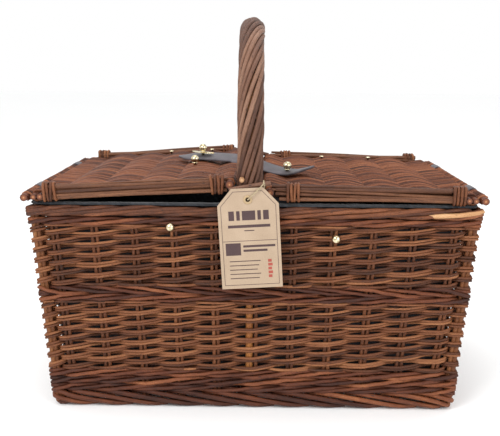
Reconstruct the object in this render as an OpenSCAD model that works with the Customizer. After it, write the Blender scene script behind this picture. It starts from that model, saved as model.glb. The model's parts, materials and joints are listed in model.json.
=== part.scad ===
// Two-lid willow picnic basket with one fixed roped handle.
// +X runs along the length, the front is at -Y, +Z is up, and the ground is z = 0.

/* [Body] */
// Length of the body over the rim, left to right
rim_w = 460; // [400:1:560]
// Depth of the body over the rim, front to back
rim_d = 290; // [250:1:350]
// Length of the body over the foot
foot_w = 428; // [350:1:530]
// Depth of the body over the foot
foot_d = 264; // [210:1:320]
// Height of the rim above the ground
rim_h = 222; // [190:1:270]
// Thickness of the twisted bands, borders and foot
wale_t = 12; // [9:0.5:16]
// Thickness of the plain woven siding between the bands
siding_t = 8; // [6:0.5:9]
// Chamfer at the upright corners
corner_cut = 8; // [5:0.5:12]

/* [Bands] */
// Height of the border that the basket stands on
foot_h = 16; // [12:1:20]
// Height of the band above the foot
bottom_wale_h = 26; // [18:1:34]
// Height of the middle of the middle band above the ground
middle_wale_z = 128; // [110:1:140]
// Height of the middle band
middle_wale_h = 16; // [12:1:20]
// Height of the band under the rim
top_wale_h = 16; // [12:1:20]
// Height of the rim border
rim_border_h = 13; // [10:1:16]

/* [Stakes and base] */
// Diameter of one side stake
stake_d = 4; // [3:0.2:5]
// Gap between the two stakes of a pair
stake_gap = 0.4; // [0.2:0.1:1]
// Pairs of stakes on the front and on the back, an odd number
long_pairs = 11; // [7:2:13]
// Pairs of stakes on each end
short_pairs = 7; // [5:1:9]
// Diameter of a corner post
post_d = 8; // [6:0.5:9]
// Diameter of a base stick
base_stick_d = 6; // [4:0.5:7]
// Number of base sticks
base_sticks_n = 6; // [4:1:8]
// Thickness of the woven base
base_t = 8; // [7.5:0.5:10]

/* [Lining] */
// Thickness of the fabric lining
liner_t = 1.2; // [0.8:0.1:2]
// Height of the lining's hem on top of the rim
hem_h = 2.5; // [1.5:0.1:3]

/* [Handle] */
// Height of the top of the handle above the ground
handle_top = 414; // [400:1:500]
// Outer diameter of the roped handle
rope_d = 27; // [22:0.5:32]
// Diameter of the bow inside the rope
bow_d = 9; // [7:0.5:11]
// Distance of the handle's middle from the rim's outer face
handle_inset = 11; // [9:0.5:14]
// Sideways place of the handle and of the gap between the lids
handle_x = -4; // [-8:1:8]
// Diameter of the rod bound across each handle foot
wrap_d = 5; // [4:0.5:6]
// Length of the rod bound across each handle foot
wrap_len = 42; // [32:1:50]
// Slope of that rod
wrap_tilt = 10; // [0:1:12]
// Diameter of the peg in each handle foot
peg_d = 6; // [4:0.5:6]

/* [Lids] */
// Depth of each lid, front to back
lid_d = 292; // [262:1:352]
// Thickness of a lid's front and back borders
lid_border_t = 10; // [8:0.5:12]
// Height of a lid's front and back borders
lid_border_h = 16; // [13:0.5:18]
// Thickness of the woven panel of a lid
lid_weave_t = 12; // [9:0.5:13]
// Diameter of the stick that a lid turns on
hinge_stick_d = 7.6; // [6:0.2:8]
// Diameter of the other two sticks at the hinge end
end_stick_d = 6.2; // [5:0.2:7]
// Diameter of the stick at the handle end of a lid
inner_stick_d = 8.8; // [7:0.2:10]
// Diameter of the sticks inside a lid's panel
lid_stick_d = 5; // [4:0.2:6]
// Number of sticks inside a lid's panel
lid_sticks_n = 4; // [3:1:5]
// Gap between the handle and each lid
lid_gap = 2; // [1.5:0.5:5]
// How far open the left lid stands
left_rest = 3; // [0:0.1:6]
// How far open the right lid stands
right_rest = 0.8; // [0:0.1:6]

/* [Leather and brass] */
// Width of a leather hinge loop
loop_w = 22; // [14:1:30]
// Thickness of the loop leather
loop_t = 1.8; // [1.2:0.1:2.2]
// Distance of the hinge loops from the middle of the basket
loop_y = 85; // [60:1:100]
// Width of the closing strap
strap_w = 25; // [18:1:30]
// Thickness of the closing strap
strap_t = 3; // [2:0.2:4]
// Angle of the strap across the lids
strap_skew = -34; // [-40:1:0]
// Diameter of a ball stud
ball_d = 9.4; // [7:0.2:11]
// Diameter of a flat lid stud
lid_stud_d = 6; // [4:0.5:8]

/* [Hang tag] */
// Width of the tag
tag_w = 61; // [40:1:70]
// Height of the tag
tag_h = 102; // [70:1:110]
// Thickness of the card
tag_t = 0.8; // [0.5:0.1:1]
// Slope of the tag
tag_tilt = 3.5; // [0:0.5:8]
// Diameter of the string
string_d = 1.6; // [1:0.1:1.8]

/* [Hidden] */
$fn = 48;

willow = "#7a4226";
willow_dark = "#5d3323";
willow_light = "#a8683a";
charcoal = "#2a2c33";
black_leather = "#33343c";
brass = "#d9c58a";
kraft = "#cdae88";
cotton = "#d8c9a8";

// Clearance between pieces that move past each other
gap = 0.3;
// Slit between neighbouring solids of one band
slit = 0.2;

// Half length and half depth of the body's outer face at height z
function half_w(z) = (foot_w + (rim_w - foot_w) * z / rim_h) / 2;
function half_d(z) = (foot_d + (rim_d - foot_d) * z / rim_h) / 2;

// Heights where the bands meet
z_bottom_wale = foot_h;
z_lower = foot_h + bottom_wale_h;
z_middle = middle_wale_z - middle_wale_h / 2;
z_upper = middle_wale_z + middle_wale_h / 2;
z_top_wale = rim_h - rim_border_h - top_wale_h;
z_rim = rim_h - rim_border_h;

siding_inset = (wale_t - siding_t) / 2;
stake_inset = wale_t / 2;
liner_inset = wale_t + gap;

// Handle arch: a half circle on two short upright legs
arch_r = rim_d / 2 - handle_inset;
spring_z = handle_top - rope_d / 2 - arch_r;
rope_z = rim_h + hem_h + 0.5;
wrap_y = arch_r + rope_d / 2 + wrap_d / 2 + slit;
wrap_z = rope_z + 18.5;
peg_x = handle_x - bow_d / 2 - peg_d / 2 - 0.6;
peg_z = wrap_z + wrap_d / 2 + peg_d / 2 + 0.8;

// Hinge stick: just outside the rim, above the hem
hinge_x = rim_w / 2 + 1;
hinge_z = rim_h + hem_h + 1.5 + hinge_stick_d / 2 + 0.2;
border_low = -hinge_stick_d / 2 - 0.2;
weave_low = border_low + 2;
weave_high = weave_low + lid_weave_t;
lining_t = liner_t;
second_stick_x = hinge_stick_d / 2 + gap + loop_t + 0.4 + end_stick_d / 2;
third_stick_x = second_stick_x + end_stick_d + gap;
border_from = third_stick_x + end_stick_d / 2 + 0.5;

// Length of a lid from its hinge axis to its handle end; side is -1 left, 1 right
function lid_len(side) = hinge_x - side * handle_x - rope_d / 2 - lid_gap;
function lid_rest(side) = side < 0 ? left_rest : right_rest;
// Height of a lid's woven top at a distance x from the basket's middle plane
function lid_top(side, x) =
    hinge_z + (hinge_x - abs(x)) * sin(lid_rest(side)) + weave_high * cos(lid_rest(side));

// Places of the studs
front_stud_places = [[-84, 20], [83, 31]];
left_stud_places = [[-112, 122], [-58, 122]];
right_stud_places = [[86, 112], [147, 112]];
stud_neck_d = 3.6;
ball_foot_t = 1;
stud_grip = (lid_weave_t - lid_stick_d) / 2 - 0.5;
washer_d = 12;
washer_t = 1;

// Closing strap, along its own line through the middle of the lid gap
strap_y = -17;
strap_from = -109;
strap_to = 87;
plate_s = -71.5;
button_s = 48.5;
spare_stud = [-70, -12];
plate_len = 33;
plate_w = 12;
plate_t = 1.2;

// Hang tag
tag_y = -(wrap_y + wrap_d / 2 + string_d + tag_t / 2 + 0.9);
eyelet = [handle_x - 2, wrap_z - 12];
eyelet_r = 2.2;
eyelet_wall = 0.4;
eyelet_flange = 4.6;
eyelet_lip = 0.5;
tag_top = 11.5;
tag_shoulder = 16.5;
tag_shoulder_w = 32;
ring_x = 10;
ring_z = wrap_z + (ring_x - handle_x) * tan(wrap_tilt);

// ---------- shared shapes ----------

// Solid between two level outlines with the same number of points
module loft(low, z0, high, z1) {
    n = len(low);
    pts = concat([for (p = low) [p[0], p[1], z0]], [for (p = high) [p[0], p[1], z1]]);
    sides = [for (i = [0:n - 1]) [i, (i + 1) % n, (i + 1) % n + n, i + n]];
    polyhedron(pts, concat([[for (i = [n - 1:-1:0]) i]], sides, [[for (i = [0:n - 1]) i + n]]));
}

// Outline of the front piece of a band at height z, counted from its outer face
function long_outline(z, inset, t) = let (x = half_w(z) - inset, y = half_d(z) - inset,
    c = max(corner_cut - inset, 1))
    [[-x, -y + c], [-x, -y + t], [x, -y + t], [x, -y + c], [x - c, -y], [-x + c, -y]];

// Outline of the right piece, which fits between the front and back pieces
function short_outline(z, inset, t) = let (x = half_w(z) - inset, y = half_d(z) - inset - t - slit)
    [[x - t, -y], [x - t, y], [x, y], [x, -y]];

// One woven band: four flat pieces round the body
module band(z0, z1, inset, t) {
    for (turn = [0, 180])
        rotate([0, 0, turn]) {
            loft(long_outline(z0, inset, t), z0, long_outline(z1, inset, t), z1);
            loft(short_outline(z0, inset, t), z0, short_outline(z1, inset, t), z1);
        }
}

// Round rod from point a to point b
module rod(a, b, d) {
    v = b - a;
    translate(a)
        rotate([0, acos(v[2] / norm(v)), atan2(v[1], v[0])])
            cylinder(d = d, h = norm(v));
}

// Outline of the body at height z, moved in by inset
function body_outline(z, inset) = let (x = half_w(z) - inset, y = half_d(z) - inset)
    [[-x, -y], [-x, y], [x, y], [x, -y]];

// Round tube swept through a list of points; up is a direction that the route never follows
module swept(points, d, sides, up) {
    n = len(points);
    rings = [for (i = [0:n - 1])
        let (
            ahead = points[min(i + 1, n - 1)] - points[max(i - 1, 0)],
            u = ahead / norm(ahead),
            side = cross(u, up),
            v = side / norm(side),
            w = cross(u, v))
        for (k = [0:sides - 1])
            points[i] + d / 2 * (cos(360 * k / sides) * v + sin(360 * k / sides) * w)];
    walls = [for (i = [0:n - 2]) for (k = [0:sides - 1])
        let (a = i * sides + k, b = i * sides + (k + 1) % sides)
        each [[a, b + sides, b], [a, a + sides, b + sides]]];
    polyhedron(rings, concat(walls,
        [[for (k = [0:sides - 1]) k]],
        [[for (k = [sides - 1:-1:0]) (n - 1) * sides + k]]));
}

// Ball stud standing on z = 0 with a shank of the given length below it
module ball_stud(shank) {
    rise = ball_foot_t + ball_d / 2 - 0.6;
    union() {
        cylinder(d = ball_d * 0.72, h = ball_foot_t);
        cylinder(d = stud_neck_d, h = rise);
        translate([0, 0, rise])
            sphere(d = ball_d);
        translate([0, 0, -shank])
            cylinder(d = stud_neck_d, h = shank + 0.1);
    }
}

// ---------- base and walls ----------

base_mid = z_bottom_wale + base_t / 2;

module base_sticks() {
    span = 2 * (half_d(base_mid) - wale_t) - 24;
    x = half_w(base_mid) - wale_t - 4;
    color(willow_dark)
        for (i = [0:base_sticks_n - 1])
            let (y = -span / 2 + span * i / (base_sticks_n - 1))
                rod([-x, y, base_mid], [x, y, base_mid], base_stick_d);
}

module base_weave() {
    z0 = z_bottom_wale;
    z1 = z_bottom_wale + base_t;
    color(willow)
        loft(body_outline(z0, wale_t), z0, body_outline(z1, wale_t), z1);
}

module foot_border() {
    color(willow_dark) band(0, foot_h, 0, wale_t);
}

module bottom_wale() {
    color(willow) band(z_bottom_wale, z_lower, 0, wale_t);
}

module lower_siding() {
    color(willow_light) band(z_lower, z_middle, siding_inset, siding_t);
}

module middle_wale() {
    color(willow) band(z_middle, z_upper, 0, wale_t);
}

module upper_siding() {
    color(willow_light) band(z_upper, z_top_wale, siding_inset, siding_t);
}

module top_wale() {
    color(willow) band(z_top_wale, z_rim, 0, wale_t);
}

module rim_border() {
    color(willow_dark) band(z_rim, rim_h, 0, wale_t);
}

module corner_posts() {
    low = 4;
    high = rim_h - 3;
    inset = stake_inset + 1;
    color(willow_light)
        for (sx = [-1, 1], sy = [-1, 1])
            rod([sx * (half_w(low) - inset), sy * (half_d(low) - inset), low],
                [sx * (half_w(high) - inset), sy * (half_d(high) - inset), high], post_d);
}

// Stakes spread out a little towards the rim, as the body does
module side_stakes() {
    low = 6;
    high = rim_h - 2;
    step = (stake_d + stake_gap) / 2;
    long_middle = (long_pairs - 1) / 2;
    beside_bow = handle_x + bow_d / 2 + stake_d / 2 + gap;
    color(willow)
        for (sy = [-1, 1]) {
            for (i = [0:long_pairs - 1], k = [-1, 1])
                if (i != long_middle)
                    let (
                        share = (i - long_middle) / (long_middle + 0.3),
                        a = share * (half_w(low) - wale_t),
                        b = share * (half_w(high) - wale_t))
                        rod([a + k * step, sy * (half_d(low) - stake_inset), low],
                            [b + k * step, sy * (half_d(high) - stake_inset), high], stake_d);
            rod([beside_bow, sy * (half_d(low) - stake_inset), low],
                [beside_bow, sy * (half_d(high) - stake_inset), high], stake_d);
            for (i = [0:short_pairs - 1], k = [-1, 1])
                let (
                    share = (2 * i + 1) / short_pairs - 1,
                    a = share * (half_d(low) - wale_t),
                    b = share * (half_d(high) - wale_t))
                    rod([sy * (half_w(low) - stake_inset), a + k * step, low],
                        [sy * (half_w(high) - stake_inset), b + k * step, high], stake_d);
        }
}

module liner() {
    floor_z = z_bottom_wale + base_t + gap;
    inner = liner_inset + liner_t;
    color(charcoal)
        difference() {
            loft(body_outline(floor_z, liner_inset), floor_z,
                body_outline(rim_h, liner_inset), rim_h);
            loft(body_outline(floor_z + liner_t, inner), floor_z + liner_t,
                body_outline(rim_h + 1, inner), rim_h + 1);
        }
}

module liner_hem() {
    color(charcoal) band(rim_h, rim_h + hem_h, siding_inset, wale_t - siding_inset);
}

// ---------- handle ----------

// Points of the handle's middle line over the arch, from the front foot to the back one
function arch_points(steps) =
    [for (i = [0:steps]) let (a = 180 * i / steps)
        [handle_x, -arch_r * cos(a), spring_z + arch_r * sin(a)]];

module handle_bow() {
    low = [handle_x, half_d(z_lower) - stake_inset, z_lower];
    bend = [handle_x, arch_r, rim_h + 3];
    color(willow_light)
        swept(concat(
            [[low[0], -low[1], low[2]], [bend[0], -bend[1], bend[2]]],
            arch_points(24),
            [bend, low]), bow_d, 16, [1, 0, 0]);
}

module handle_rope() {
    color("#7d5a45")
        swept(concat(
            [[handle_x, -arch_r, rope_z]], arch_points(24), [[handle_x, arch_r, rope_z]]),
            rope_d, 20, [1, 0, 0]);
}

module handle_wraps() {
    color(willow_dark)
        for (sy = [-1, 1])
            translate([handle_x, sy * wrap_y, wrap_z])
                rotate([0, 90 - wrap_tilt, 0])
                    translate([0, 0, -wrap_len / 2])
                        cylinder(d = wrap_d, h = wrap_len);
}

module handle_pegs() {
    color(willow_light)
        for (sy = [-1, 1])
            rod([peg_x, sy * (arch_r - 10), peg_z],
                [peg_x, sy * (arch_r + rope_d / 2 + 1), peg_z], peg_d);
}

// ---------- studs on the front ----------

// Turns the children so that their +Z points out of the front face at x, a drop below the rim
module on_front(place) {
    z = rim_h - place[1];
    lean = atan((rim_d - foot_d) / 2 / rim_h);
    translate([place[0], -half_d(z), z])
        rotate([90 + lean, 0, 0])
            children();
}

module front_studs() {
    color(brass)
        for (p = front_stud_places)
            on_front(p) ball_stud(liner_inset + liner_t + washer_t);
}

module front_stud_washers() {
    color(brass)
        for (p = front_stud_places)
            on_front(p)
                translate([0, 0, -liner_inset - liner_t - washer_t - slit])
                    difference() {
                        cylinder(d = washer_d, h = washer_t);
                        translate([0, 0, -1])
                            cylinder(d = stud_neck_d + slit, h = washer_t + 2);
                    }
}

// ---------- hinge loops ----------

module hinge_loops(side) {
    inner = hinge_stick_d / 2 + gap;
    outer = inner + loop_t;
    color(black_leather)
        for (y = [-loop_y, loop_y])
            difference() {
                union() {
                    translate([side * hinge_x, y + loop_w / 2, hinge_z])
                        rotate([90, 0, 0])
                            cylinder(r = outer, h = loop_w);
                    translate([side > 0 ? rim_w / 2 + 0.05 : -rim_w / 2 - 0.05 - loop_t,
                            y - loop_w / 2, z_rim - 3])
                        cube([loop_t, loop_w, hinge_z - inner - z_rim + 2.4]);
                }
                translate([side * hinge_x, y + loop_w / 2 + 1, hinge_z])
                    rotate([90, 0, 0])
                        cylinder(r = inner, h = loop_w + 2);
            }
}

// ---------- lids ----------

// Lid pieces are drawn from the hinge axis inwards along +X, then set on the basket
module on_lid(side) {
    translate([side * hinge_x, 0, hinge_z])
        mirror([side > 0 ? 1 : 0, 0, 0])
            rotate([0, -lid_rest(side), 0])
                children();
}

module cross_stick(x, z, d, half_len) {
    translate([x, half_len, z])
        rotate([90, 0, 0])
            cylinder(d = d, h = 2 * half_len);
}

module lid_end_sticks(side) {
    half_len = lid_d / 2 + 1;
    middle = border_low + lid_border_h / 2;
    color(willow_dark)
        on_lid(side) {
            cross_stick(0, 0, hinge_stick_d, half_len);
            cross_stick(second_stick_x, 0, end_stick_d, half_len);
            cross_stick(third_stick_x, 0, end_stick_d, half_len);
            cross_stick(lid_len(side) - inner_stick_d / 2, middle, inner_stick_d, half_len);
        }
}

module lid_sticks(side) {
    from = third_stick_x;
    pitch = (lid_len(side) - inner_stick_d / 2 - from) / (lid_sticks_n + 1);
    color(willow)
        on_lid(side)
            for (i = [1:lid_sticks_n])
                cross_stick(from + i * pitch, (weave_low + weave_high) / 2, lid_stick_d,
                    lid_d / 2 - lid_border_t);
}

module lid_weave(side) {
    half_len = lid_d / 2 - lid_border_t;
    notch = hinge_stick_d / 2 + gap + loop_t + 0.4;
    color(willow_light)
        on_lid(side)
            difference() {
                translate([-1, -half_len, weave_low])
                    cube([lid_len(side) + 1, 2 * half_len, lid_weave_t]);
                for (y = [-loop_y, loop_y])
                    translate([-2, y - loop_w / 2 - 0.5, weave_low - 1])
                        cube([notch + 2, loop_w + 1, lid_weave_t + 2]);
            }
}

module lid_borders(side) {
    length = lid_len(side) - inner_stick_d - 0.5 - border_from;
    color(willow)
        on_lid(side)
            for (y = [-lid_d / 2, lid_d / 2 - lid_border_t])
                translate([border_from, y, border_low])
                    cube([length, lid_border_t, lid_border_h]);
}

module lid_bindings(side) {
    wraps = 3;
    wrap_w = 3.4;
    wrap_step = 4.4;
    t = 1.6;
    color(willow_light)
        on_lid(side)
            for (sy = [-1, 1], from = [border_from + 6, lid_len(side) - 25], i = [0:wraps - 1])
                translate([from + i * wrap_step, sy * (lid_d - lid_border_t) / 2,
                        border_low + lid_border_h / 2])
                    difference() {
                        translate([0, -lid_border_t / 2 - t, -lid_border_h / 2 - t / 2])
                            cube([wrap_w, lid_border_t + 2 * t, lid_border_h + 1.5 * t]);
                        translate([-1, -lid_border_t / 2, -lid_border_h / 2])
                            cube([wrap_w + 2, lid_border_t, lid_border_h]);
                    }
}

module lid_lining(side) {
    length = lid_len(side) - inner_stick_d - 1 - border_from;
    half_len = lid_d / 2 - lid_border_t - gap;
    color(charcoal)
        on_lid(side)
            translate([border_from, -half_len, weave_low - lining_t - 0.1])
                cube([length, 2 * half_len, lining_t]);
}

module lid_studs(side, places) {
    head_h = 1.8;
    color(brass)
        on_lid(side)
            for (p = places)
                translate([hinge_x - abs(p[0]), p[1], weave_high]) {
                    cylinder(d1 = lid_stud_d, d2 = lid_stud_d * 0.6, h = head_h);
                    translate([0, 0, -lid_weave_t])
                        cylinder(d = lid_stud_d * 0.4, h = lid_weave_t + 0.1);
                }
}

// ---------- closing strap ----------

// Along the strap's own line: s runs along it, measured from the handle's middle plane
module on_strap() {
    translate([handle_x, strap_y, 0])
        rotate([0, 0, strap_skew])
            children();
}

// World place of a point of the strap's line
function strap_point(s) =
    [handle_x + s * cos(strap_skew), strap_y + s * sin(strap_skew)];
function top_at(side, s) = lid_top(side, strap_point(s)[0]);

// Underside of the strap: resting on the left lid, bowed up, buttoned down on the right lid
strap_line = [
    [strap_from, top_at(-1, strap_from) + 1.6],
    [-92, top_at(-1, -92) + 3],
    [plate_s, top_at(-1, plate_s) + 3.6],
    [-50, top_at(-1, -50) + 3.6],
    [-18, top_at(-1, -18) + 2.6],
    [0, top_at(-1, -18) + 0.6],
    [16, top_at(1, 16) + 4.6],
    [34, top_at(1, 34) + 1.6],
    [button_s, top_at(1, button_s) + 0.8],
    [60, top_at(1, 60) + 2.2],
    [strap_to, top_at(1, strap_to) + 9]];
strap_top_at_plate = top_at(-1, plate_s) + 3.6 + strap_t;
plate_z = strap_top_at_plate + 1.1;

module closing_strap() {
    under = strap_line;
    over = [for (i = [len(under) - 1:-1:0]) under[i] + [0, strap_t]];
    point = strap_w * 0.7;
    color(black_leather)
        on_strap()
            difference() {
                intersection() {
                    translate([0, strap_w / 2, 0])
                        rotate([90, 0, 0])
                            linear_extrude(strap_w)
                                polygon(concat(under, over));
                    translate([0, 0, rim_h])
                        linear_extrude(100)
                            polygon([
                                [strap_from, -3], [strap_from, 3],
                                [strap_from + point, strap_w / 2], [strap_to - 24, strap_w / 2],
                                [strap_to - 6, 5], [strap_to - 6, -5], [strap_to - 24, -strap_w / 2],
                                [strap_from + point, -strap_w / 2]]);
                }
                for (s = [plate_s, button_s])
                    translate([s, 0, rim_h])
                        cylinder(d = stud_neck_d + 4 * gap, h = 100);
            }
}

module strap_plate() {
    bend_r = (plate_len * plate_len / 4 + plate_w * plate_w / 4) / plate_w;
    color(brass)
        on_strap()
            translate([plate_s, 0, plate_z])
                difference() {
                    linear_extrude(plate_t)
                        intersection() {
                            translate([0, bend_r - plate_w / 2]) circle(r = bend_r, $fn = 96);
                            translate([0, plate_w / 2 - bend_r]) circle(r = bend_r, $fn = 96);
                        }
                    translate([0, 0, -1])
                        cylinder(d = stud_neck_d + slit, h = plate_t + 2);
                }
}

module left_ball_studs() {
    anchor = strap_point(plate_s);
    base_z = plate_z + plate_t;
    spare_z = lid_top(-1, spare_stud[0]);
    color(brass) {
        translate([anchor[0], anchor[1], base_z])
            ball_stud(base_z - lid_top(-1, anchor[0]) + stud_grip);
        translate([spare_stud[0], spare_stud[1], spare_z])
            ball_stud(stud_grip);
    }
}

module right_ball_stud() {
    anchor = strap_point(button_s);
    top = top_at(1, button_s) + strap_t + 1.5;
    color(brass)
        translate([anchor[0], anchor[1], top])
            ball_stud(top - lid_top(1, anchor[0]) + stud_grip);
}

// ---------- hang tag ----------

// The string is bound round the front handle rod, runs down in front of the card and goes in
// through the eyelet: offsets from the eyelet's middle
string_offsets = [
    [15.5, -2, 16.2], [12, -2.3, 12.2], [6, -2.4, 6], [1, -2.3, 1.2], [0.1, -1.2, 0.2],
    [0, 2.4, 0]];

module tag_string() {
    ring_r = wrap_d / 2 + gap + string_d / 2;
    start = [ring_x, -wrap_y, ring_z];
    route = concat(
        [start + [0, -ring_r, 1.2]],
        [for (offset = string_offsets) [eyelet[0], tag_y, eyelet[1]] + offset]);
    color(cotton)
        union() {
            translate(start)
                rotate([0, 90 - wrap_tilt, 0])
                    rotate_extrude()
                        translate([ring_r, 0])
                            circle(d = string_d, $fn = 16);
            swept(route, string_d, 8, [-0.35, 0.35, 0.87]);
        }
}

module tag_outline() {
    polygon([
        [-tag_shoulder_w / 2, tag_top], [tag_shoulder_w / 2, tag_top],
        [tag_w / 2, tag_top - tag_shoulder], [tag_w / 2, tag_top - tag_h],
        [-tag_w / 2, tag_top - tag_h], [-tag_w / 2, tag_top - tag_shoulder]]);
}

// Tag pieces are drawn flat with the eyelet at the origin
module on_tag() {
    translate([eyelet[0], tag_y, eyelet[1]])
        rotate([90, -tag_tilt, 0])
            children();
}

module tag() {
    color(kraft)
        on_tag()
            translate([0, 0, -tag_t / 2])
                difference() {
                    linear_extrude(tag_t) tag_outline();
                    translate([0, 0, -1])
                        cylinder(r = eyelet_r + eyelet_wall, h = tag_t + 2);
                }
}

module tag_eyelet() {
    color(brass)
        on_tag()
            difference() {
                union() {
                    for (z = [-tag_t / 2 - eyelet_lip, tag_t / 2])
                        translate([0, 0, z])
                            cylinder(r = eyelet_flange, h = eyelet_lip);
                    translate([0, 0, -tag_t / 2])
                        cylinder(r = eyelet_r + eyelet_wall, h = tag_t);
                }
                translate([0, 0, -5])
                    cylinder(r = eyelet_r, h = 10);
            }
}

base_sticks();
base_weave();
foot_border();
bottom_wale();
lower_siding();
middle_wale();
upper_siding();
top_wale();
rim_border();
corner_posts();
side_stakes();
liner();
liner_hem();
handle_bow();
handle_rope();
handle_wraps();
handle_pegs();
front_studs();
front_stud_washers();
hinge_loops(-1);  // left_hinge_loops
hinge_loops(1);  // right_hinge_loops
lid_end_sticks(-1);  // left_lid_end_sticks
lid_sticks(-1);  // left_lid_sticks
lid_weave(-1);  // left_lid_weave
lid_borders(-1);  // left_lid_borders
lid_bindings(-1);  // left_lid_bindings
lid_lining(-1);  // left_lid_lining
lid_studs(-1, left_stud_places);  // left_lid_studs
left_ball_studs();
strap_plate();
lid_end_sticks(1);  // right_lid_end_sticks
lid_sticks(1);  // right_lid_sticks
lid_weave(1);  // right_lid_weave
lid_borders(1);  // right_lid_borders
lid_bindings(1);  // right_lid_bindings
lid_lining(1);  // right_lid_lining
lid_studs(1, right_stud_places);  // right_lid_studs
right_ball_stud();
closing_strap();
tag_string();
tag();
tag_eyelet();
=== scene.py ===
import json
import math
import random

import bmesh
import bpy
from mathutils import Matrix, Vector, noise


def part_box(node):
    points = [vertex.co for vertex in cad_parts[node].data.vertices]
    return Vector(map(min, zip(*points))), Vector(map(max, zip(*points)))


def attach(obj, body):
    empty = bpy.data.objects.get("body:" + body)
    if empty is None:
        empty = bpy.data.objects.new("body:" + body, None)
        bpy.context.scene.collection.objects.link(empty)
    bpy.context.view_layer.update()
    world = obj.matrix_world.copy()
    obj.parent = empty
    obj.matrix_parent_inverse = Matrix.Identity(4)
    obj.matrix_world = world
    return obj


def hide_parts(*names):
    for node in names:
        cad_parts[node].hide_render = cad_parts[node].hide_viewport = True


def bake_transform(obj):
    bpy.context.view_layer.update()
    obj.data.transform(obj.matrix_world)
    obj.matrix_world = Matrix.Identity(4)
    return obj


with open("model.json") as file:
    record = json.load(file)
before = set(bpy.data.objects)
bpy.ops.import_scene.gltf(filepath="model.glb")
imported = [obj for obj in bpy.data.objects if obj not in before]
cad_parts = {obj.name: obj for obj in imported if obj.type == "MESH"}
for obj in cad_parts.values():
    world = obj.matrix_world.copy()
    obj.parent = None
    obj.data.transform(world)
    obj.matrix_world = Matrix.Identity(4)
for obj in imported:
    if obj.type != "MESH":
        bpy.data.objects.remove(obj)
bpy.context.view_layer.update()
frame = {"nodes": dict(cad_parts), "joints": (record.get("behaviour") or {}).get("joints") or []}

# Lengths below are in millimetres, and become metres where a mesh is made
MM = 0.001
X, Y, Z = Vector((1, 0, 0)), Vector((0, 1, 0)), Vector((0, 0, 1))
scene = bpy.context.scene
joints = {joint["name"]: joint for joint in frame["joints"]}


# ---------- camera, floor and light ----------

camera = bpy.data.objects.new("camera", bpy.data.cameras.new("camera"))
camera.data.lens = 56.38
camera.data.sensor_width = 36
turn = (Matrix.Rotation(math.radians(0.85), 4, "Z") @ Matrix.Rotation(math.radians(-11.43), 4, "X")
        @ Matrix.Rotation(math.radians(-0.37), 4, "Y") @ Matrix.Rotation(math.radians(90), 4, "X"))
camera.matrix_world = Matrix.Translation((0.0077, -0.9167, 0.3670)) @ turn
scene.collection.objects.link(camera)
scene.camera = camera
scene.view_settings.view_transform = "Standard"


def light(name, place, target, size, watts, colour=(1, 1, 1)):
    """A soft square lamp at a place in metres, turned to a target."""
    lamp = bpy.data.objects.new(name, bpy.data.lights.new(name, "AREA"))
    lamp.data.size = size
    lamp.data.energy = watts
    lamp.data.color = colour
    lamp.location = place
    lamp.rotation_euler = (Vector(target) - Vector(place)).to_track_quat("-Z", "Y").to_euler()
    scene.collection.objects.link(lamp)


light("key_light", (-0.9, -1.3, 1.5), (0, 0, 0.15), 0.9, 20)
light("fill_light", (1.3, -1.2, 0.8), (0, 0, 0.15), 1.0, 8)
light("top_light", (0.1, 0.3, 1.7), (0, 0, 0.1), 1.2, 8)


# ---------- node helpers ----------

def linear(hex_text):
    """An sRGB hex colour as linear RGBA."""
    parts = [int(hex_text[i:i + 2], 16) / 255 for i in (1, 3, 5)]
    return tuple(p / 12.92 if p <= 0.04045 else ((p + 0.055) / 1.055) ** 2.4 for p in parts) + (1,)


def add(tree, kind, inputs=None, **settings):
    """A new node; inputs gives each socket a value or a link from another node's output."""
    made = tree.nodes.new(kind)
    for name, value in settings.items():
        setattr(made, name, value)
    for name, value in (inputs or {}).items():
        if isinstance(value, bpy.types.NodeSocket):
            tree.links.new(value, made.inputs[name])
        else:
            made.inputs[name].default_value = value
    return made


def ramp(tree, factor, stops):
    """A colour ramp through (place, hex) stops."""
    made = add(tree, "ShaderNodeValToRGB", {"Fac": factor})
    band = made.color_ramp
    while len(band.elements) < len(stops):
        band.elements.new(0.5)
    for element, (place, colour) in zip(band.elements, stops):
        element.position = place
        element.color = linear(colour)
    return made.outputs["Color"]


def material(name):
    """An empty node material and its tree and surface node."""
    made = bpy.data.materials.new(name)
    made.use_nodes = True
    tree = made.node_tree
    return made, tree, tree.nodes["Principled BSDF"]


def math_node(tree, operation, a, b=0.0, c=0.0):
    return add(tree, "ShaderNodeMath", {0: a, 1: b, 2: c}, operation=operation).outputs[0]


# ---------- materials ----------

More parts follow.
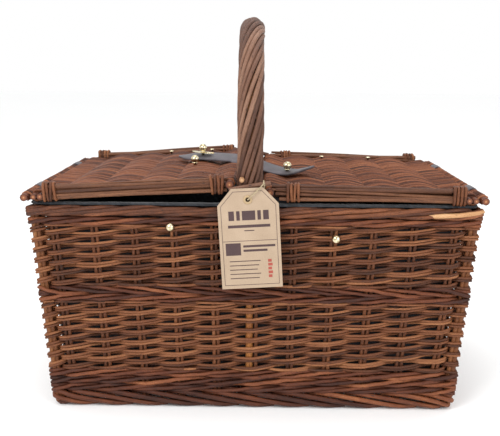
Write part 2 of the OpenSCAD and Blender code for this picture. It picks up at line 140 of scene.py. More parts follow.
def willow(name, colours, rough=0.55, stain="#1f1512"):
    """Peeled or bark-on willow rod: every rod takes its own shade, with streaks that run along
    the rod, darker patches and small knots, so a wall of rods looks woven from many cuttings."""
    made, tree, surface = material(name)
    ring = add(tree, "ShaderNodeAttribute", attribute_name="ring").outputs["Vector"]
    along = add(tree, "ShaderNodeAttribute", attribute_name="along").outputs["Fac"]
    tone = add(tree, "ShaderNodeAttribute", attribute_name="tone").outputs["Fac"]
    split = add(tree, "ShaderNodeSeparateXYZ", {0: ring})
    # Streaks: quick change round the rod, slow change along it
    lengthwise = math_node(tree, "MULTIPLY_ADD", along, 0.018, math_node(tree, "MULTIPLY", tone, 83.0))
    grain_place = add(tree, "ShaderNodeCombineXYZ",
                      {0: split.outputs[0], 1: split.outputs[1], 2: lengthwise}).outputs[0]
    streak = add(tree, "ShaderNodeTexNoise", {"Vector": grain_place, "Scale": 2.6, "Detail": 3.0,
                                              "Roughness": 0.6}).outputs[0]
    coarse_length = math_node(tree, "MULTIPLY_ADD", along, 0.03, math_node(tree, "MULTIPLY", tone, 41.0))
    patch_place = add(tree, "ShaderNodeCombineXYZ", {0: coarse_length, 1: tone, 2: 0.0}).outputs[0]
    patch = add(tree, "ShaderNodeTexNoise", {"Vector": patch_place, "Scale": 1.0, "Detail": 2.0}).outputs[0]
    speck_place = add(tree, "ShaderNodeCombineXYZ", {
        0: split.outputs[0], 1: split.outputs[1],
        2: math_node(tree, "MULTIPLY_ADD", along, 0.3, math_node(tree, "MULTIPLY", tone, 29.0))}).outputs[0]
    speck = add(tree, "ShaderNodeTexNoise", {"Vector": speck_place, "Scale": 2.8, "Detail": 4.0,
                                             "Roughness": 0.7}).outputs[0]
    shade = math_node(tree, "MULTIPLY_ADD", tone, 0.5, math_node(tree, "MULTIPLY", streak, 0.55))
    shade = math_node(tree, "MULTIPLY_ADD", patch, 0.55, math_node(tree, "SUBTRACT", shade, 0.71))
    shade = math_node(tree, "MULTIPLY_ADD", speck, 0.82, shade)
    colour = ramp(tree, shade, [(i / (len(colours) - 1), c) for i, c in enumerate(colours)])
    # Knots and stains: short dark marks
    knot_place = add(tree, "ShaderNodeCombineXYZ", {
        0: split.outputs[0], 1: split.outputs[1],
        2: math_node(tree, "MULTIPLY_ADD", along, 0.11, math_node(tree, "MULTIPLY", tone, 57.0))}).outputs[0]
    knot = add(tree, "ShaderNodeTexNoise", {"Vector": knot_place, "Scale": 1.3, "Detail": 1.0}).outputs[0]
    mark = add(tree, "ShaderNodeMapRange", {"Value": knot, "From Min": 0.66, "From Max": 0.74}).outputs[0]
    colour = add(tree, "ShaderNodeMix", {"Factor": math_node(tree, "MULTIPLY", mark, 0.65),
                                         6: colour, 7: linear(stain)}, data_type="RGBA").outputs[2]
    tree.links.new(colour, surface.inputs["Base Color"])
    gloss = add(tree, "ShaderNodeMapRange", {"Value": streak, "From Min": 0.3, "From Max": 0.7,
                                             "To Min": rough - 0.2, "To Max": rough + 0.06}).outputs[0]
    tree.links.new(gloss, surface.inputs["Roughness"])
    surface.inputs["Specular IOR Level"].default_value = 0.3
    height = math_node(tree, "MULTIPLY_ADD", mark, -0.5, math_node(tree, "MULTIPLY_ADD", speck, 0.9, streak))
    bump = add(tree, "ShaderNodeBump", {"Height": height, "Strength": 0.8, "Distance": 0.0006})
    tree.links.new(bump.outputs[0], surface.inputs["Normal"])
    return made


def cut_willow(name, wood):
    """Cut rod end: a light pith, rings of darker wood and a thin dark bark, drawn by the distance
    from the rod's middle line, with rough fibres."""
    made, tree, surface = material(name)
    place = add(tree, "ShaderNodeTexCoord").outputs["Object"]
    core = add(tree, "ShaderNodeAttribute", attribute_name="core").outputs["Vector"]
    radius = add(tree, "ShaderNodeAttribute", attribute_name="rod_radius").outputs["Fac"]
    away = add(tree, "ShaderNodeVectorMath", {0: place, 1: core}, operation="DISTANCE").outputs["Value"]
    share = math_node(tree, "DIVIDE", away, math_node(tree, "MAXIMUM", radius, 0.0001))
    fibre = add(tree, "ShaderNodeTexNoise", {"Vector": place, "Scale": 900.0, "Detail": 2.0}).outputs[0]
    rough_share = math_node(tree, "MULTIPLY_ADD", fibre, 0.22, math_node(tree, "SUBTRACT", share, 0.11))
    places = (0.0, 0.16, 0.3, 0.62, 0.85, 0.95)
    tree.links.new(ramp(tree, rough_share, list(zip(places, wood))), surface.inputs["Base Color"])
    surface.inputs["Roughness"].default_value = 0.75
    bump = add(tree, "ShaderNodeBump", {"Height": fibre, "Strength": 0.4, "Distance": 0.0003})
    tree.links.new(bump.outputs[0], surface.inputs["Normal"])
    return made


bark = willow("bark_willow", ["#1e0f08", "#442515", "#6c3e24", "#8c5938", "#b07b50"], 0.6)
wale_bark = willow("thick_bark_willow", ["#180b06", "#3a1b10", "#5c2f1b", "#80492c", "#a86c44"], 0.6)
rim_bark = willow("rim_willow", ["#26130c", "#4e2b1b", "#774529", "#9c6443", "#c28a66"], 0.58)
border_bark = willow("border_willow", ["#1f110b", "#3c2115", "#573421", "#704830", "#926545"], 0.58)
lid_bark = willow("lid_willow", ["#1c0d07", "#442112", "#6a3a22", "#885133", "#ac724b"], 0.56)
handle_bark = willow("handle_willow", ["#2c1a13", "#4e3225", "#694838", "#7f5c49", "#9c7a64"], 0.62)
pale_bark = willow("pale_willow", ["#4a2614", "#7a441f", "#98602f", "#b07840", "#c6925c"], 0.6)
corner_bark = willow("corner_willow", ["#33190d", "#5a3119", "#7b4b2a", "#94633b", "#ae7f52"], 0.6)
cream_bark = willow("peeled_willow", ["#7c4d2c", "#a5734a", "#c39468", "#d8b287", "#e8cba6"], 0.5)
cut_end = cut_willow("cut_willow", ["#cf9d72", "#a9714b", "#84502f", "#6e3c24", "#5a2f1d", "#2c1810"])
pale_end = cut_willow("cut_peeled_willow", ["#dcb78c", "#cba278", "#bb9168", "#ae8460", "#a27650", "#8a6040"])


def cloth(name, dark, light_shade, thread_mm):
    """Plain woven cloth: two crossed thread waves from the piece's own coordinates, soft sheen and
    faint uneven dye, so it reads as fabric and not as paint."""
    made, tree, surface = material(name)
    place = add(tree, "ShaderNodeTexCoord").outputs["Object"]
    turned = add(tree, "ShaderNodeMapping", {"Vector": place, "Rotation": (0.6, 0.5, 0.4)}).outputs[0]
    waves = []
    for direction in ("X", "Y"):
        wave = add(tree, "ShaderNodeTexWave",
                   {"Vector": turned, "Scale": 1 / (thread_mm * MM * 20), "Distortion": 1.2,
                    "Detail Scale": 2.0}, bands_direction=direction)
        waves.append(wave.outputs["Fac"])
    weave = math_node(tree, "MULTIPLY", waves[0], waves[1])
    dye = add(tree, "ShaderNodeTexNoise", {"Vector": place, "Scale": 60.0, "Detail": 4.0}).outputs[0]
    shade = math_node(tree, "MULTIPLY_ADD", weave, 0.35, math_node(tree, "MULTIPLY", dye, 0.7))
    colour = ramp(tree, shade, [(0.2, dark), (0.8, light_shade)])
    tree.links.new(colour, surface.inputs["Base Color"])
    surface.inputs["Roughness"].default_value = 0.92
    surface.inputs["Sheen Weight"].default_value = 0.25
    bump = add(tree, "ShaderNodeBump", {"Height": weave, "Strength": 0.5, "Distance": 0.0003})
    tree.links.new(bump.outputs[0], surface.inputs["Normal"])
    return made


def leather(name, dark, light_shade):
    """Smooth dyed leather: fine pebble grain, broad wear in lighter noise patches spread over the piece,
    satin finish.
    """
    made, tree, surface = material(name)
    place = add(tree, "ShaderNodeTexCoord").outputs["Object"]
    pebble = add(tree, "ShaderNodeTexVoronoi", {"Vector": place, "Scale": 900.0}).outputs["Distance"]
    wear = add(tree, "ShaderNodeTexNoise", {"Vector": place, "Scale": 70.0, "Detail": 5.0}).outputs[0]
    shade = math_node(tree, "MULTIPLY_ADD", pebble, 0.25, wear)
    colour = ramp(tree, shade, [(0.3, dark), (0.85, light_shade)])
    tree.links.new(colour, surface.inputs["Base Color"])
    gloss = add(tree, "ShaderNodeMapRange", {"Value": wear, "To Min": 0.38, "To Max": 0.62}).outputs[0]
    tree.links.new(gloss, surface.inputs["Roughness"])
    bump = add(tree, "ShaderNodeBump", {"Height": pebble, "Strength": 0.35, "Distance": 0.0003})
    tree.links.new(bump.outputs[0], surface.inputs["Normal"])
    return made


def metal(name, dull, bright, rough):
    """Plated brass: warm pale metal, slightly uneven polish and tarnish in soft patches."""
    made, tree, surface = material(name)
    place = add(tree, "ShaderNodeTexCoord").outputs["Object"]
    tarnish = add(tree, "ShaderNodeTexNoise", {"Vector": place, "Scale": 320.0, "Detail": 4.0}).outputs[0]
    tree.links.new(ramp(tree, tarnish, [(0.3, dull), (0.6, bright)]), surface.inputs["Base Color"])
    surface.inputs["Metallic"].default_value = 1.0
    gloss = add(tree, "ShaderNodeMapRange", {"Value": tarnish, "To Min": rough + 0.14,
                                             "To Max": rough - 0.06})
    tree.links.new(gloss.outputs[0], surface.inputs["Roughness"])
    return made


def card(name, low, high, fibre_mm):
    """Uncoated card: short pulp fibres, faint flecks and a dry matt surface."""
    made, tree, surface = material(name)
    place = add(tree, "ShaderNodeTexCoord").outputs["Object"]
    pulp = add(tree, "ShaderNodeTexNoise", {"Vector": place, "Scale": 1 / (fibre_mm * MM), "Detail": 5.0,
                                            "Roughness": 0.7}).outputs[0]
    broad = add(tree, "ShaderNodeTexNoise", {"Vector": place, "Scale": 45.0}).outputs[0]
    shade = math_node(tree, "MULTIPLY_ADD", pulp, 0.6, math_node(tree, "MULTIPLY", broad, 0.4))
    tree.links.new(ramp(tree, shade, [(0.3, low), (0.7, high)]), surface.inputs["Base Color"])
    surface.inputs["Roughness"].default_value = 0.85
    bump = add(tree, "ShaderNodeBump", {"Height": pulp, "Strength": 0.25, "Distance": 0.0002})
    tree.links.new(bump.outputs[0], surface.inputs["Normal"])
    return made


charcoal = cloth("charcoal_cotton", "#15171b", "#33373e", 0.9)
black_leather = leather("black_leather", "#2b292d", "#625b60")
brass = metal("plated_brass", "#a8956c", "#e8dcbc", 0.16)
kraft = card("kraft_card", "#9f8972", "#b59f88", 1.2)
ink = card("printed_ink", "#3a2a2c", "#54403f", 0.6)
red_ink = card("red_ink", "#8c3d33", "#b0574a", 0.6)
eyelet_metal = card("pressed_paper_ring", "#a08865", "#b89f7c", 0.7)
cotton = willow("cotton_string", ["#8c7a5d", "#a89678", "#c0b092", "#d0c4aa"], 0.8, "#8f7c5c")

floor_surface, floor_tree, floor_look = material("pale_floor")
floor_speckle = add(floor_tree, "ShaderNodeTexNoise", {"Scale": 3.0, "Detail": 2.0}).outputs[0]
floor_tree.links.new(ramp(floor_tree, floor_speckle, [(0.3, "#fcfdfd"), (0.7, "#fefefe")]),
                     floor_look.inputs["Base Color"])
floor_look.inputs["Roughness"].default_value = 0.9
floor_mesh = bpy.data.meshes.new("floor")
floor_mesh.from_pydata([(-6, -4, 0), (6, -4, 0), (6, 8, 0), (-6, 8, 0)], [], [(0, 1, 2, 3)])
floor_mesh.materials.append(floor_surface)
floor = bpy.data.objects.new("floor", floor_mesh)
scene.collection.objects.link(floor)

world = bpy.data.worlds.new("studio")
scene.world = world
world.use_nodes = True
world.node_tree.nodes["Background"].inputs["Color"].default_value = (1, 1, 1, 1)
world.node_tree.nodes["Background"].inputs["Strength"].default_value = 1.0


# ---------- rods from lines: one Geometry Nodes tree ----------

rod_tree = bpy.data.node_groups.new("rods", "GeometryNodeTree")
for socket_name, socket_kind, way in (
        ("Lines", "NodeSocketGeometry", "INPUT"), ("Sides", "NodeSocketInt", "INPUT"),
        ("Skin", "NodeSocketMaterial", "INPUT"), ("Ends", "NodeSocketMaterial", "INPUT"),
        ("Rods", "NodeSocketGeometry", "OUTPUT")):
    rod_tree.interface.new_socket(socket_name, in_out=way, socket_type=socket_kind)
rod_inputs = {item.name: item.identifier for item in rod_tree.interface.items_tree
              if item.in_out == "INPUT"}
entry = add(rod_tree, "NodeGroupInput")
lines = add(rod_tree, "GeometryNodeMeshToCurve", {0: entry.outputs["Lines"]}).outputs[0]
circle = add(rod_tree, "GeometryNodeCurvePrimitiveCircle",
             {"Resolution": entry.outputs["Sides"], "Radius": 1.0}).outputs["Curve"]
circle = add(rod_tree, "GeometryNodeStoreNamedAttribute",
             {"Geometry": circle, "Name": "ring",
              "Value": add(rod_tree, "GeometryNodeInputPosition").outputs[0]},
             data_type="FLOAT_VECTOR", domain="POINT").outputs[0]
thick = add(rod_tree, "GeometryNodeInputNamedAttribute", {"Name": "rod_radius"}, data_type="FLOAT").outputs[0]
cored = add(rod_tree, "GeometryNodeStoreNamedAttribute",
            {"Geometry": lines, "Name": "core",
             "Value": add(rod_tree, "GeometryNodeInputPosition").outputs[0]},
            data_type="FLOAT_VECTOR", domain="POINT").outputs[0]
skin = add(rod_tree, "GeometryNodeCurveToMesh",
           {"Curve": cored, "Profile Curve": circle, "Scale": thick, "Fill Caps": True}).outputs[0]
corners_of_face = add(rod_tree, "ShaderNodeMath",
                      {0: add(rod_tree, "GeometryNodeInputMeshFaceNeighbors").outputs["Vertex Count"],
                       1: 4.5},
                      operation="LESS_THAN").outputs[0]
skin = add(rod_tree, "GeometryNodeSetShadeSmooth", {0: skin, "Shade Smooth": corners_of_face}).outputs[0]
skin = add(rod_tree, "GeometryNodeRealizeInstances", {0: skin}).outputs[0]
skin = add(rod_tree, "GeometryNodeSetMaterial", {0: skin, "Material": entry.outputs["Ends"]}).outputs[0]
skin = add(rod_tree, "GeometryNodeSetMaterial",
           {0: skin, "Selection": corners_of_face, "Material": entry.outputs["Skin"]}).outputs[0]
add(rod_tree, "NodeGroupOutput", {0: skin})


def keep_piece(obj, body, slot, *nodes):
    """Links a finished piece, hides the CAD nodes it stands for and parents it to the body it moves with."""
    if obj.name not in scene.collection.objects:
        scene.collection.objects.link(obj)
    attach(obj, body)
    if nodes:
        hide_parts(*nodes)
    return obj


def make_rods(name, rods, body, slot, nodes, skin_look, sides=8, ends=None):
    """One mesh of round rods. Each rod is (points, radii, tone)."""
    vertices, edges, radii_all, tones, along = [], [], [], [], []
    for points, radii, tone in rods:
        first, travelled = len(vertices), 0.0
        for i, (point, radius) in enumerate(zip(points, radii)):
            if i:
                travelled += (point - points[i - 1]).length
                edges.append((first + i - 1, first + i))
            vertices.append(point * MM)
            swell = noise.noise(Vector((travelled * 0.06, tone * 60, radius)))
            radii_all.append(radius * (1 + 0.09 * swell) * MM)
            tones.append(tone)
            along.append(travelled)
    mesh = bpy.data.meshes.new(name)
    mesh.from_pydata(vertices, edges, [])
    for layer_name, values in (("rod_radius", radii_all), ("tone", tones), ("along", along)):
        mesh.attributes.new(layer_name, "FLOAT", "POINT").data.foreach_set("value", values)
    obj = bpy.data.objects.new(name, mesh)
    scene.collection.objects.link(obj)
    builder = obj.modifiers.new("rods", "NODES")
    builder.node_group = rod_tree
    builder[rod_inputs["Sides"]] = sides
    builder[rod_inputs["Skin"]] = skin_look
    builder[rod_inputs["Ends"]] = ends or cut_end
    graph = bpy.context.evaluated_depsgraph_get()
    finished = bpy.data.meshes.new_from_object(obj.evaluated_get(graph), preserve_all_data_layers=True,
                                               depsgraph=graph)
    obj.modifiers.clear()
    obj.data = finished
    finished.name = name
    return keep_piece(obj, body, slot, *nodes)


def smooth_line(keys, step):
    """Points of a Catmull-Rom line through the keys, about step apart."""
    line = []
    last = len(keys) - 1
    for i in range(last):
        a, b = keys[max(i - 1, 0)], keys[i]
        c, d = keys[i + 1], keys[min(i + 2, last)]
        parts = max(1, round((c - b).length / step))
        for n in range(parts):
            t = n / parts
            line.append(0.5 * (2 * b + (c - a) * t + (2 * a - 5 * b + 4 * c - d) * t * t
                               + (3 * b - a - 3 * c + d) * t ** 3))
    line.append(keys[-1].copy())
    return line


def taper(count, butt, tip):
    """Radii that go evenly from the butt to the tip of a rod."""
    return [butt + (tip - butt) * i / max(1, count - 1) for i in range(count)]


# ---------- sizes of the body, from the CAD ----------

def corners(name):
    low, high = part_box(name)
    return low / MM, high / MM


foot_high = corners("foot_border")[1]
wale_low, wale_high = corners("bottom_wale")
lower_low, lower_high = corners("lower_siding")
middle_low, middle_high = corners("middle_wale")
upper_low, upper_high = corners("upper_siding")
top_high = corners("top_wale")[1]
rim_low, rim_high = corners("rim_border")
FLARE_X = (rim_high.x - foot_high.x) / (rim_high.z - foot_high.z)
FLARE_Y = (rim_high.y - foot_high.y) / (rim_high.z - foot_high.z)
STAKE_LINE = 6.0
CORNER_LINE = 5.6
CORNER_POST_R = 4.4


def half_w(z):
    return rim_high.x + FLARE_X * (z - rim_high.z)


def half_d(z):
    return rim_high.y + FLARE_Y * (z - rim_high.z)


# Posts round the body, anticlockwise from the front left: (share of half width, margin,
# share of half depth, margin, outward direction, post radius)
LONG_POSTS, SHORT_POSTS = 11, 7
long_shares = [(i - 5) / 5.3 for i in range(LONG_POSTS)]
short_shares = [(2 * i + 1) / SHORT_POSTS - 1 for i in range(SHORT_POSTS)]
posts = []
for turn_x, turn_y in ((1, -1), (1, 1), (-1, 1), (-1, -1)):
    if turn_x * turn_y < 0:
        posts += [(turn_x * s, 12, turn_y, STAKE_LINE, Vector((0, turn_y)), 2.0) for s in long_shares]
    else:
        posts += [(turn_x, STAKE_LINE, turn_y * s, 12, Vector((turn_x, 0)), 2.0) for s in short_shares]
    corner_out = Vector((turn_x, turn_y)).normalized()
    posts.append((turn_x, CORNER_LINE, turn_y, CORNER_LINE, corner_out, CORNER_POST_R))
POSTS = len(posts)
for k in (5, 5 + POSTS // 2):
    posts[k] = posts[k][:5] + (3.0,)


def wall_point(k, z, out):
    """Place on the wall: k counts posts round the body, out is the distance outside the stakes."""
    i = math.floor(k)
    share = k - i
    ends = []
    for post in (posts[i % POSTS], posts[(i + 1) % POSTS]):
        ends.append(Vector((post[0] * (half_w(z) - post[1]), post[2] * (half_d(z) - post[3]))))
    place = ends[0].lerp(ends[1], share)
    direction = posts[i % POSTS][4].lerp(posts[(i + 1) % POSTS][4], share).normalized()
    return Vector((place.x + direction.x * out, place.y + direction.y * out, z))


def post_radius(k):
    i = math.floor(k)
    return posts[i % POSTS][5] + (posts[(i + 1) % POSTS][5] - posts[i % POSTS][5]) * (k - i)


# ---------- stakes and corner posts ----------

rng = random.Random(7)
stakes = []
for k in range(POSTS):
    if posts[k][5] > 2:
        continue
    for side in (-1, 1):
        lean = rng.uniform(-0.35, 0.35)
        keys = []
        for z in range(6, 216, 15):
            sideways = Vector((-posts[k][4].y, posts[k][4].x)) * (side * 2.25 + lean * math.sin(z * 0.05 + k))
            point = wall_point(k, z, 0.2 * math.sin(z * 0.11 + k))
            keys.append(point + Vector((sideways.x, sideways.y, 0)))
        stakes.append((keys, taper(len(keys), 2.15, 1.8), rng.uniform(0.1, 0.75)))
bow_low, bow_high = corners("handle_bow")
HANDLE_X = (bow_low.x + bow_high.x) / 2
for side in (-1, 1):
    keys = [Vector((HANDLE_X + 6.9, side * (half_d(z) - STAKE_LINE), z)) for z in range(6, 216, 15)]
    stakes.append((keys, taper(len(keys), 2.2, 1.8), 0.4))
make_rods("side_stake_rods", stakes, "basket", "willow", ["side_stakes"], bark)
corner_rods = []
for k in range(POSTS):
    if posts[k][5] > 4:
        for shift, out in ((-0.15, 0.0), (0.15, 0.2), (0.0, 1.5), (0.0, -3.4)):
            keys = [wall_point(k + shift, z, out + 0.3 * math.sin(z * 0.07)) for z in range(5, 219, 10)]
            corner_rods.append((keys, taper(len(keys), 2.6, 2.3), rng.uniform(0.1, 0.6)))
make_rods("corner_post_rods", corner_rods, "basket", "willow_pale", ["corner_posts"], corner_bark, 10)


# ---------- siding: pairs of thin rods, in front of one stake and behind the next ----------

PAIRS = 24
RISE = 3.3
SIDING_R = 1.47


def siding(name, node_name, low, high, seed):
    rng = random.Random(seed)
    rods = []
    edge = 2.6
    for m in range(PAIRS):
        start = m * POSTS / PAIRS
        first = math.ceil(start) - 2
        last = math.floor(start + (high - low - 2 * edge) / RISE) + 2
        for half in (-1, 1):
            tone = rng.random()
            shift = rng.uniform(-0.25, 0.25)
            drift = rng.uniform(0, 6)
            loop = rng.uniform(0.94, 1.1)
            butt = SIDING_R * rng.uniform(0.96, 1.16)
            tip = SIDING_R * rng.uniform(0.74, 0.95)
            points = []
            steps_per_post = 8
            total = int((last - first + 1.0) * steps_per_post)
            for n in range(total + 1):
                k = first - 0.5 + n / steps_per_post
                whole = math.floor(k)
                t = k - whole
                in_front = (whole + m) % 2 == 0
                rise = 6.4 * t - 2.4 * t * t if in_front else 4.6 * t - 2.0 * t * t
                base = RISE * (whole - start) + (0.0 if in_front else 0.7)
                swing = math.cos(math.pi * (k + m))
                reach = post_radius(k) + SIDING_R
                out = reach * math.copysign(abs(swing) ** 0.55, swing)
                out = out * (loop if reach > 5 else 1.0) if swing > 0 else max(out, -4.7)
                wobble = 0.35 * math.sin(k * 1.7 + drift) + 0.2 * math.sin(k * 4.3 + 2 * drift)
                z = low + edge + base + rise + half * (1.38 + 0.2 * wobble) + wobble * 0.6 + shift
                z = min(max(z, low + SIDING_R), high - SIDING_R)
                points.append(wall_point(k, z, out + 0.15 * half * wobble))
            rods.append((points, taper(len(points), butt, tip), tone))
    return make_rods(name, rods, "basket", "willow", [node_name], bark)


# The thin upper rods run up behind the lowest thick row of the top wale
UPPER_SIDING_TOP = upper_high.z + 9.5
siding("lower_siding_rods", "lower_siding", lower_low.z, lower_high.z, 11)
siding("upper_siding_rods", "upper_siding", upper_low.z, UPPER_SIDING_TOP, 12)


# ---------- wales: three or four thicker rods twined round the stakes ----------

def stroke_keys(period, lift, slope):
    """(phase, height, reach) of one stroke: behind one stake, then in front of the others."""
    front = period - 1
    keys = [(0.0, 0.0, -1.0), (0.5, -slope * lift * 1.05, 0.12)]
    for n in range(front):
        share = n / max(1, front - 1)
        keys.append((n + 1.0, slope * lift * (2 * share - 1), 1.0))
        if n < front - 1:
            keys.append((n + 1.5, slope * lift * (2 * share - 1 + 1 / (front - 1)), 1.22))
    keys += [(period - 0.5, slope * lift * 1.05, 0.12), (float(period), 0.0, -1.0)]
    return keys


def eased(keys, phase):
    """Height and reach at a phase, smoothly between the keys."""
    for a, b in zip(keys, keys[1:]):
        if phase <= b[0]:
            t = (phase - a[0]) / (b[0] - a[0])
            t = t * t * (3 - 2 * t)
            return a[1] + (b[1] - a[1]) * t, a[2] + (b[2] - a[2]) * t
    return keys[-1][1], keys[-1][2]


def wale_row(rods, rng, mid, period, thick, lift, slope, seam=32):
    """Adds one row that runs once round the body, cut at places hidden behind stakes."""
    keys = stroke_keys(period, lift, slope)
    for strand in range(period):
        at = seam + strand
        end = seam + strand + POSTS
        while at < end:
            length = period * rng.randint(3, 5)
            stop = min(at + length, end)
            tone, shift = rng.random(), rng.uniform(-0.6, 0.6)
            drift, bend = rng.uniform(0, 6), rng.uniform(0.85, 1.3)
            butt, tip = thick * rng.uniform(0.94, 1.14), thick * rng.uniform(0.78, 0.98)
            points = []
            for n in range(int((stop - at) * 6) + 1):
                k = at + n / 6
                height, reach = eased(keys, (k - seam - strand) % period)
                near = post_radius(k) + thick * (0.9 if reach > 0 else 0.6)
                sway = 0.45 * math.sin(k * 1.3 + drift) + 0.25 * math.sin(k * 3.1 + 2 * drift)
                points.append(wall_point(k, mid + height * bend + shift + sway, max(reach * near, -4.6)))
            rods.append((points, taper(len(points), butt, tip), tone))
            at = stop
    return rods


rng = random.Random(21)
rows, row_step = [], (wale_high.z - wale_low.z) / 3
for i in range(3):
    wale_row(rows, rng, wale_low.z + 1.2 + row_step * (i + 0.5) * 0.97, 3, 2.15, 2.3, 1)
make_rods("bottom_wale_rods", rows, "basket", "willow_thick", ["bottom_wale"], wale_bark)
rows = []
wale_row(rows, rng, middle_low.z + 3.6, 3, 1.9, 2.1, 1)
wale_row(rows, rng, middle_high.z - 4.2, 3, 2.0, 2.6, -1)
make_rods("middle_wale_rods", rows, "basket", "willow_thick", ["middle_wale"], wale_bark)
rows = []
wale_row(rows, rng, top_high.z - 3.2, 3, 2.0, 1.9, 1)
make_rods("top_wale_rods", rows, "basket", "willow_thick", ["top_wale"], wale_bark)
rows = []
wale_row(rows, rng, (rim_low.z + rim_high.z) / 2 + 0.4, 4, 2.35, 3.6, 1)
make_rods("rim_border_rods", rows, "basket", "willow_thick", ["rim_border"], rim_bark)
# One peeled rod laid along the right end of the front rim
peeled = [wall_point(k, z, out) for k, z, out in (
    (9.3, 213.6, 3.4), (9.6, 214.6, 6.6), (10.0, 215.6, 7.4), (10.4, 216.8, 7.6), (10.8, 218.2, 7.6),
    (11.0, 219.2, 7.0), (11.15, 219.8, 6.4))]
peeled = smooth_line(peeled, 5)
make_rods("peeled_rim_rod", [(peeled, taper(len(peeled), 2.5, 2.2), 0.5)], "basket", "willow_pale",
          ["rim_border"], cream_bark, 12, pale_end)

# Foot border: each stake end is bent down to the right, in front of two stakes
rng = random.Random(31)
foot_rods = []
for k in range(POSTS):
    top = foot_high.z
    thick = rng.uniform(2.6, 3.0)
    lift = rng.uniform(-0.5, 0.5)
    course = [(-0.4, top - 0.5, -2.5), (0.0, top + 0.9 + lift, 2.6), (0.4, top - 1.0 + lift, 4.4),
              (1.0, top - 5.0, 5.2), (1.7, top - 9.8, 4.8), (2.2, top - 12.6, 3.4), (2.6, top - 13.2, -0.4)]
    keys = [wall_point(k + step, z, out) for step, z, out in course]
    line = smooth_line(keys, 5)
    foot_rods.append((line, taper(len(line), thick, thick * 0.85), rng.random()))
for k in range(POSTS):
    keys = [wall_point(k + step / 3, 3.4, -1.2) for step in range(-1, 5)]
    foot_rods.append((keys, taper(len(keys), 2.4, 2.4), rng.random()))
make_rods("foot_border_rods", foot_rods, "basket", "willow_thick", ["foot_border"], wale_bark)


# ---------- base ----------

base_low, base_high = corners("base_weave")
sticks_low, sticks_high = corners("base_sticks")
BASE_STICKS = 6
base_z = (sticks_low.z + sticks_high.z) / 2
stick_ys = [sticks_low.y + 3 + (sticks_high.y - sticks_low.y - 6) * i / (BASE_STICKS - 1)
            for i in range(BASE_STICKS)]
rng = random.Random(41)
sticks = []
for y in stick_ys:
    keys = [Vector((sticks_low.x + (sticks_high.x - sticks_low.x) * i / 12,
                    y + rng.uniform(-0.4, 0.4), base_z))
            for i in range(13)]
    sticks.append((keys, taper(13, 2.8, 2.5), rng.random()))
make_rods("base_stick_rods", sticks, "basket", "willow", ["base_sticks"], wale_bark, 10)
weavers = []
count = 122
for j in range(count):
    x = base_low.x + 2 + (base_high.x - base_low.x - 4) * j / (count - 1)
    side = 1 if j % 2 else -1
    keys = [Vector((x, base_low.y + 1.5, base_z))]
    for i, y in enumerate(stick_ys):
        keys.append(Vector((x + rng.uniform(-0.3, 0.3), y, base_z + side * (-1) ** i * 3.3)))
    keys.append(Vector((x, base_high.y - 1.5, base_z)))
    line = smooth_line(keys, 6)
    weavers.append((line, taper(len(line), 1.25, 1.1), rng.random()))
make_rods("base_weavers", weavers, "basket", "willow", ["base_weave"], bark, 6)


# ---------- handle ----------

rope_low, rope_high = corners("handle_rope")
ROPE_R = (rope_high.x - rope_low.x) / 2
ARCH_R = rope_high.y - ROPE_R
SPRING_Z = rope_high.z - ROPE_R - ARCH_R
leg = SPRING_Z - rope_low.z
arch_length = 2 * leg + math.pi * ARCH_R


def arch(s):
    """Place, direction and outward direction on the handle's middle line, s along it from the front."""
    if s < leg:
        return Vector((HANDLE_X, -ARCH_R, rope_low.z + s)), Z.copy(), -Y
    if s > arch_length - leg:
        return Vector((HANDLE_X, ARCH_R, rope_low.z + arch_length - s)), -Z, Y.copy()
    angle = (s - leg) / ARCH_R
    out = Vector((0, -math.cos(angle), math.sin(angle)))
    return (Vector((HANDLE_X, 0, SPRING_Z)) + out * ARCH_R,
            Vector((0, math.sin(angle), math.cos(angle))), out)


STRANDS, STRAND_R, TWIST = 13, 2.42, 235.0
rng = random.Random(51)
rope = []
for i in range(STRANDS):
    tone, points, radii = rng.random(), [], []
    drift = rng.uniform(0, 6)
    bundle = ROPE_R - STRAND_R
    for n in range(101):
        s = arch_length * n / 100
        place, ahead, out = arch(s)
        angle = 2 * math.pi * (i / STRANDS + s / TWIST) + 0.05 * math.sin(s * 0.03 + drift)
        side = ahead.cross(out)
        reach = bundle + 0.35 * math.sin(s * 0.045 + drift)
        points.append(place + (out * math.cos(angle) + side * math.sin(angle)) * reach)
        radii.append(STRAND_R * (1.02 + 0.1 * math.sin(s * 0.02 + drift)))
    rope.append((points, radii, tone))
make_rods("handle_rope_rods", rope, "basket", "willow_handle", ["handle_rope"], handle_bark, 10)
bow_r = (bow_high.x - bow_low.x) / 2
bow = [Vector((HANDLE_X, -(half_d(z) - STAKE_LINE - 1.0), z)) for z in (43, 70, 100, 130, 160, 190, 212)]
bow += [arch(arch_length * n / 60)[0] for n in range(61)]
bow += [Vector((p.x, -p.y, p.z)) for p in reversed(bow[:7])]
make_rods("handle_bow_rod", [(bow, [bow_r * 0.86] * len(bow), 0.45)], "basket", "willow_pale",
          ["handle_bow"], pale_bark, 14)


def islands(name):
    """Boxes of a node's separate solids, in millimetres, from left to right and front to back."""
    mesh = frame["nodes"][name].data
    spot, parent = {}, list(range(len(mesh.vertices)))

    def root(i):
        while parent[i] != i:
            parent[i] = parent[parent[i]]
            i = parent[i]
        return i

    for vertex in mesh.vertices:
        key = tuple(round(c, 6) for c in vertex.co)
        parent[root(vertex.index)] = root(spot.setdefault(key, vertex.index))
    for edge in mesh.edges:
        parent[root(edge.vertices[0])] = root(edge.vertices[1])
    groups = {}
    for vertex in mesh.vertices:
        groups.setdefault(root(vertex.index), []).append(vertex.co / MM)
    boxes = [(Vector([min(p[i] for p in g) for i in range(3)]),
              Vector([max(p[i] for p in g) for i in range(3)]))
             for g in groups.values()]
    return sorted(boxes, key=lambda b: (round(b[0].x), b[0].y))


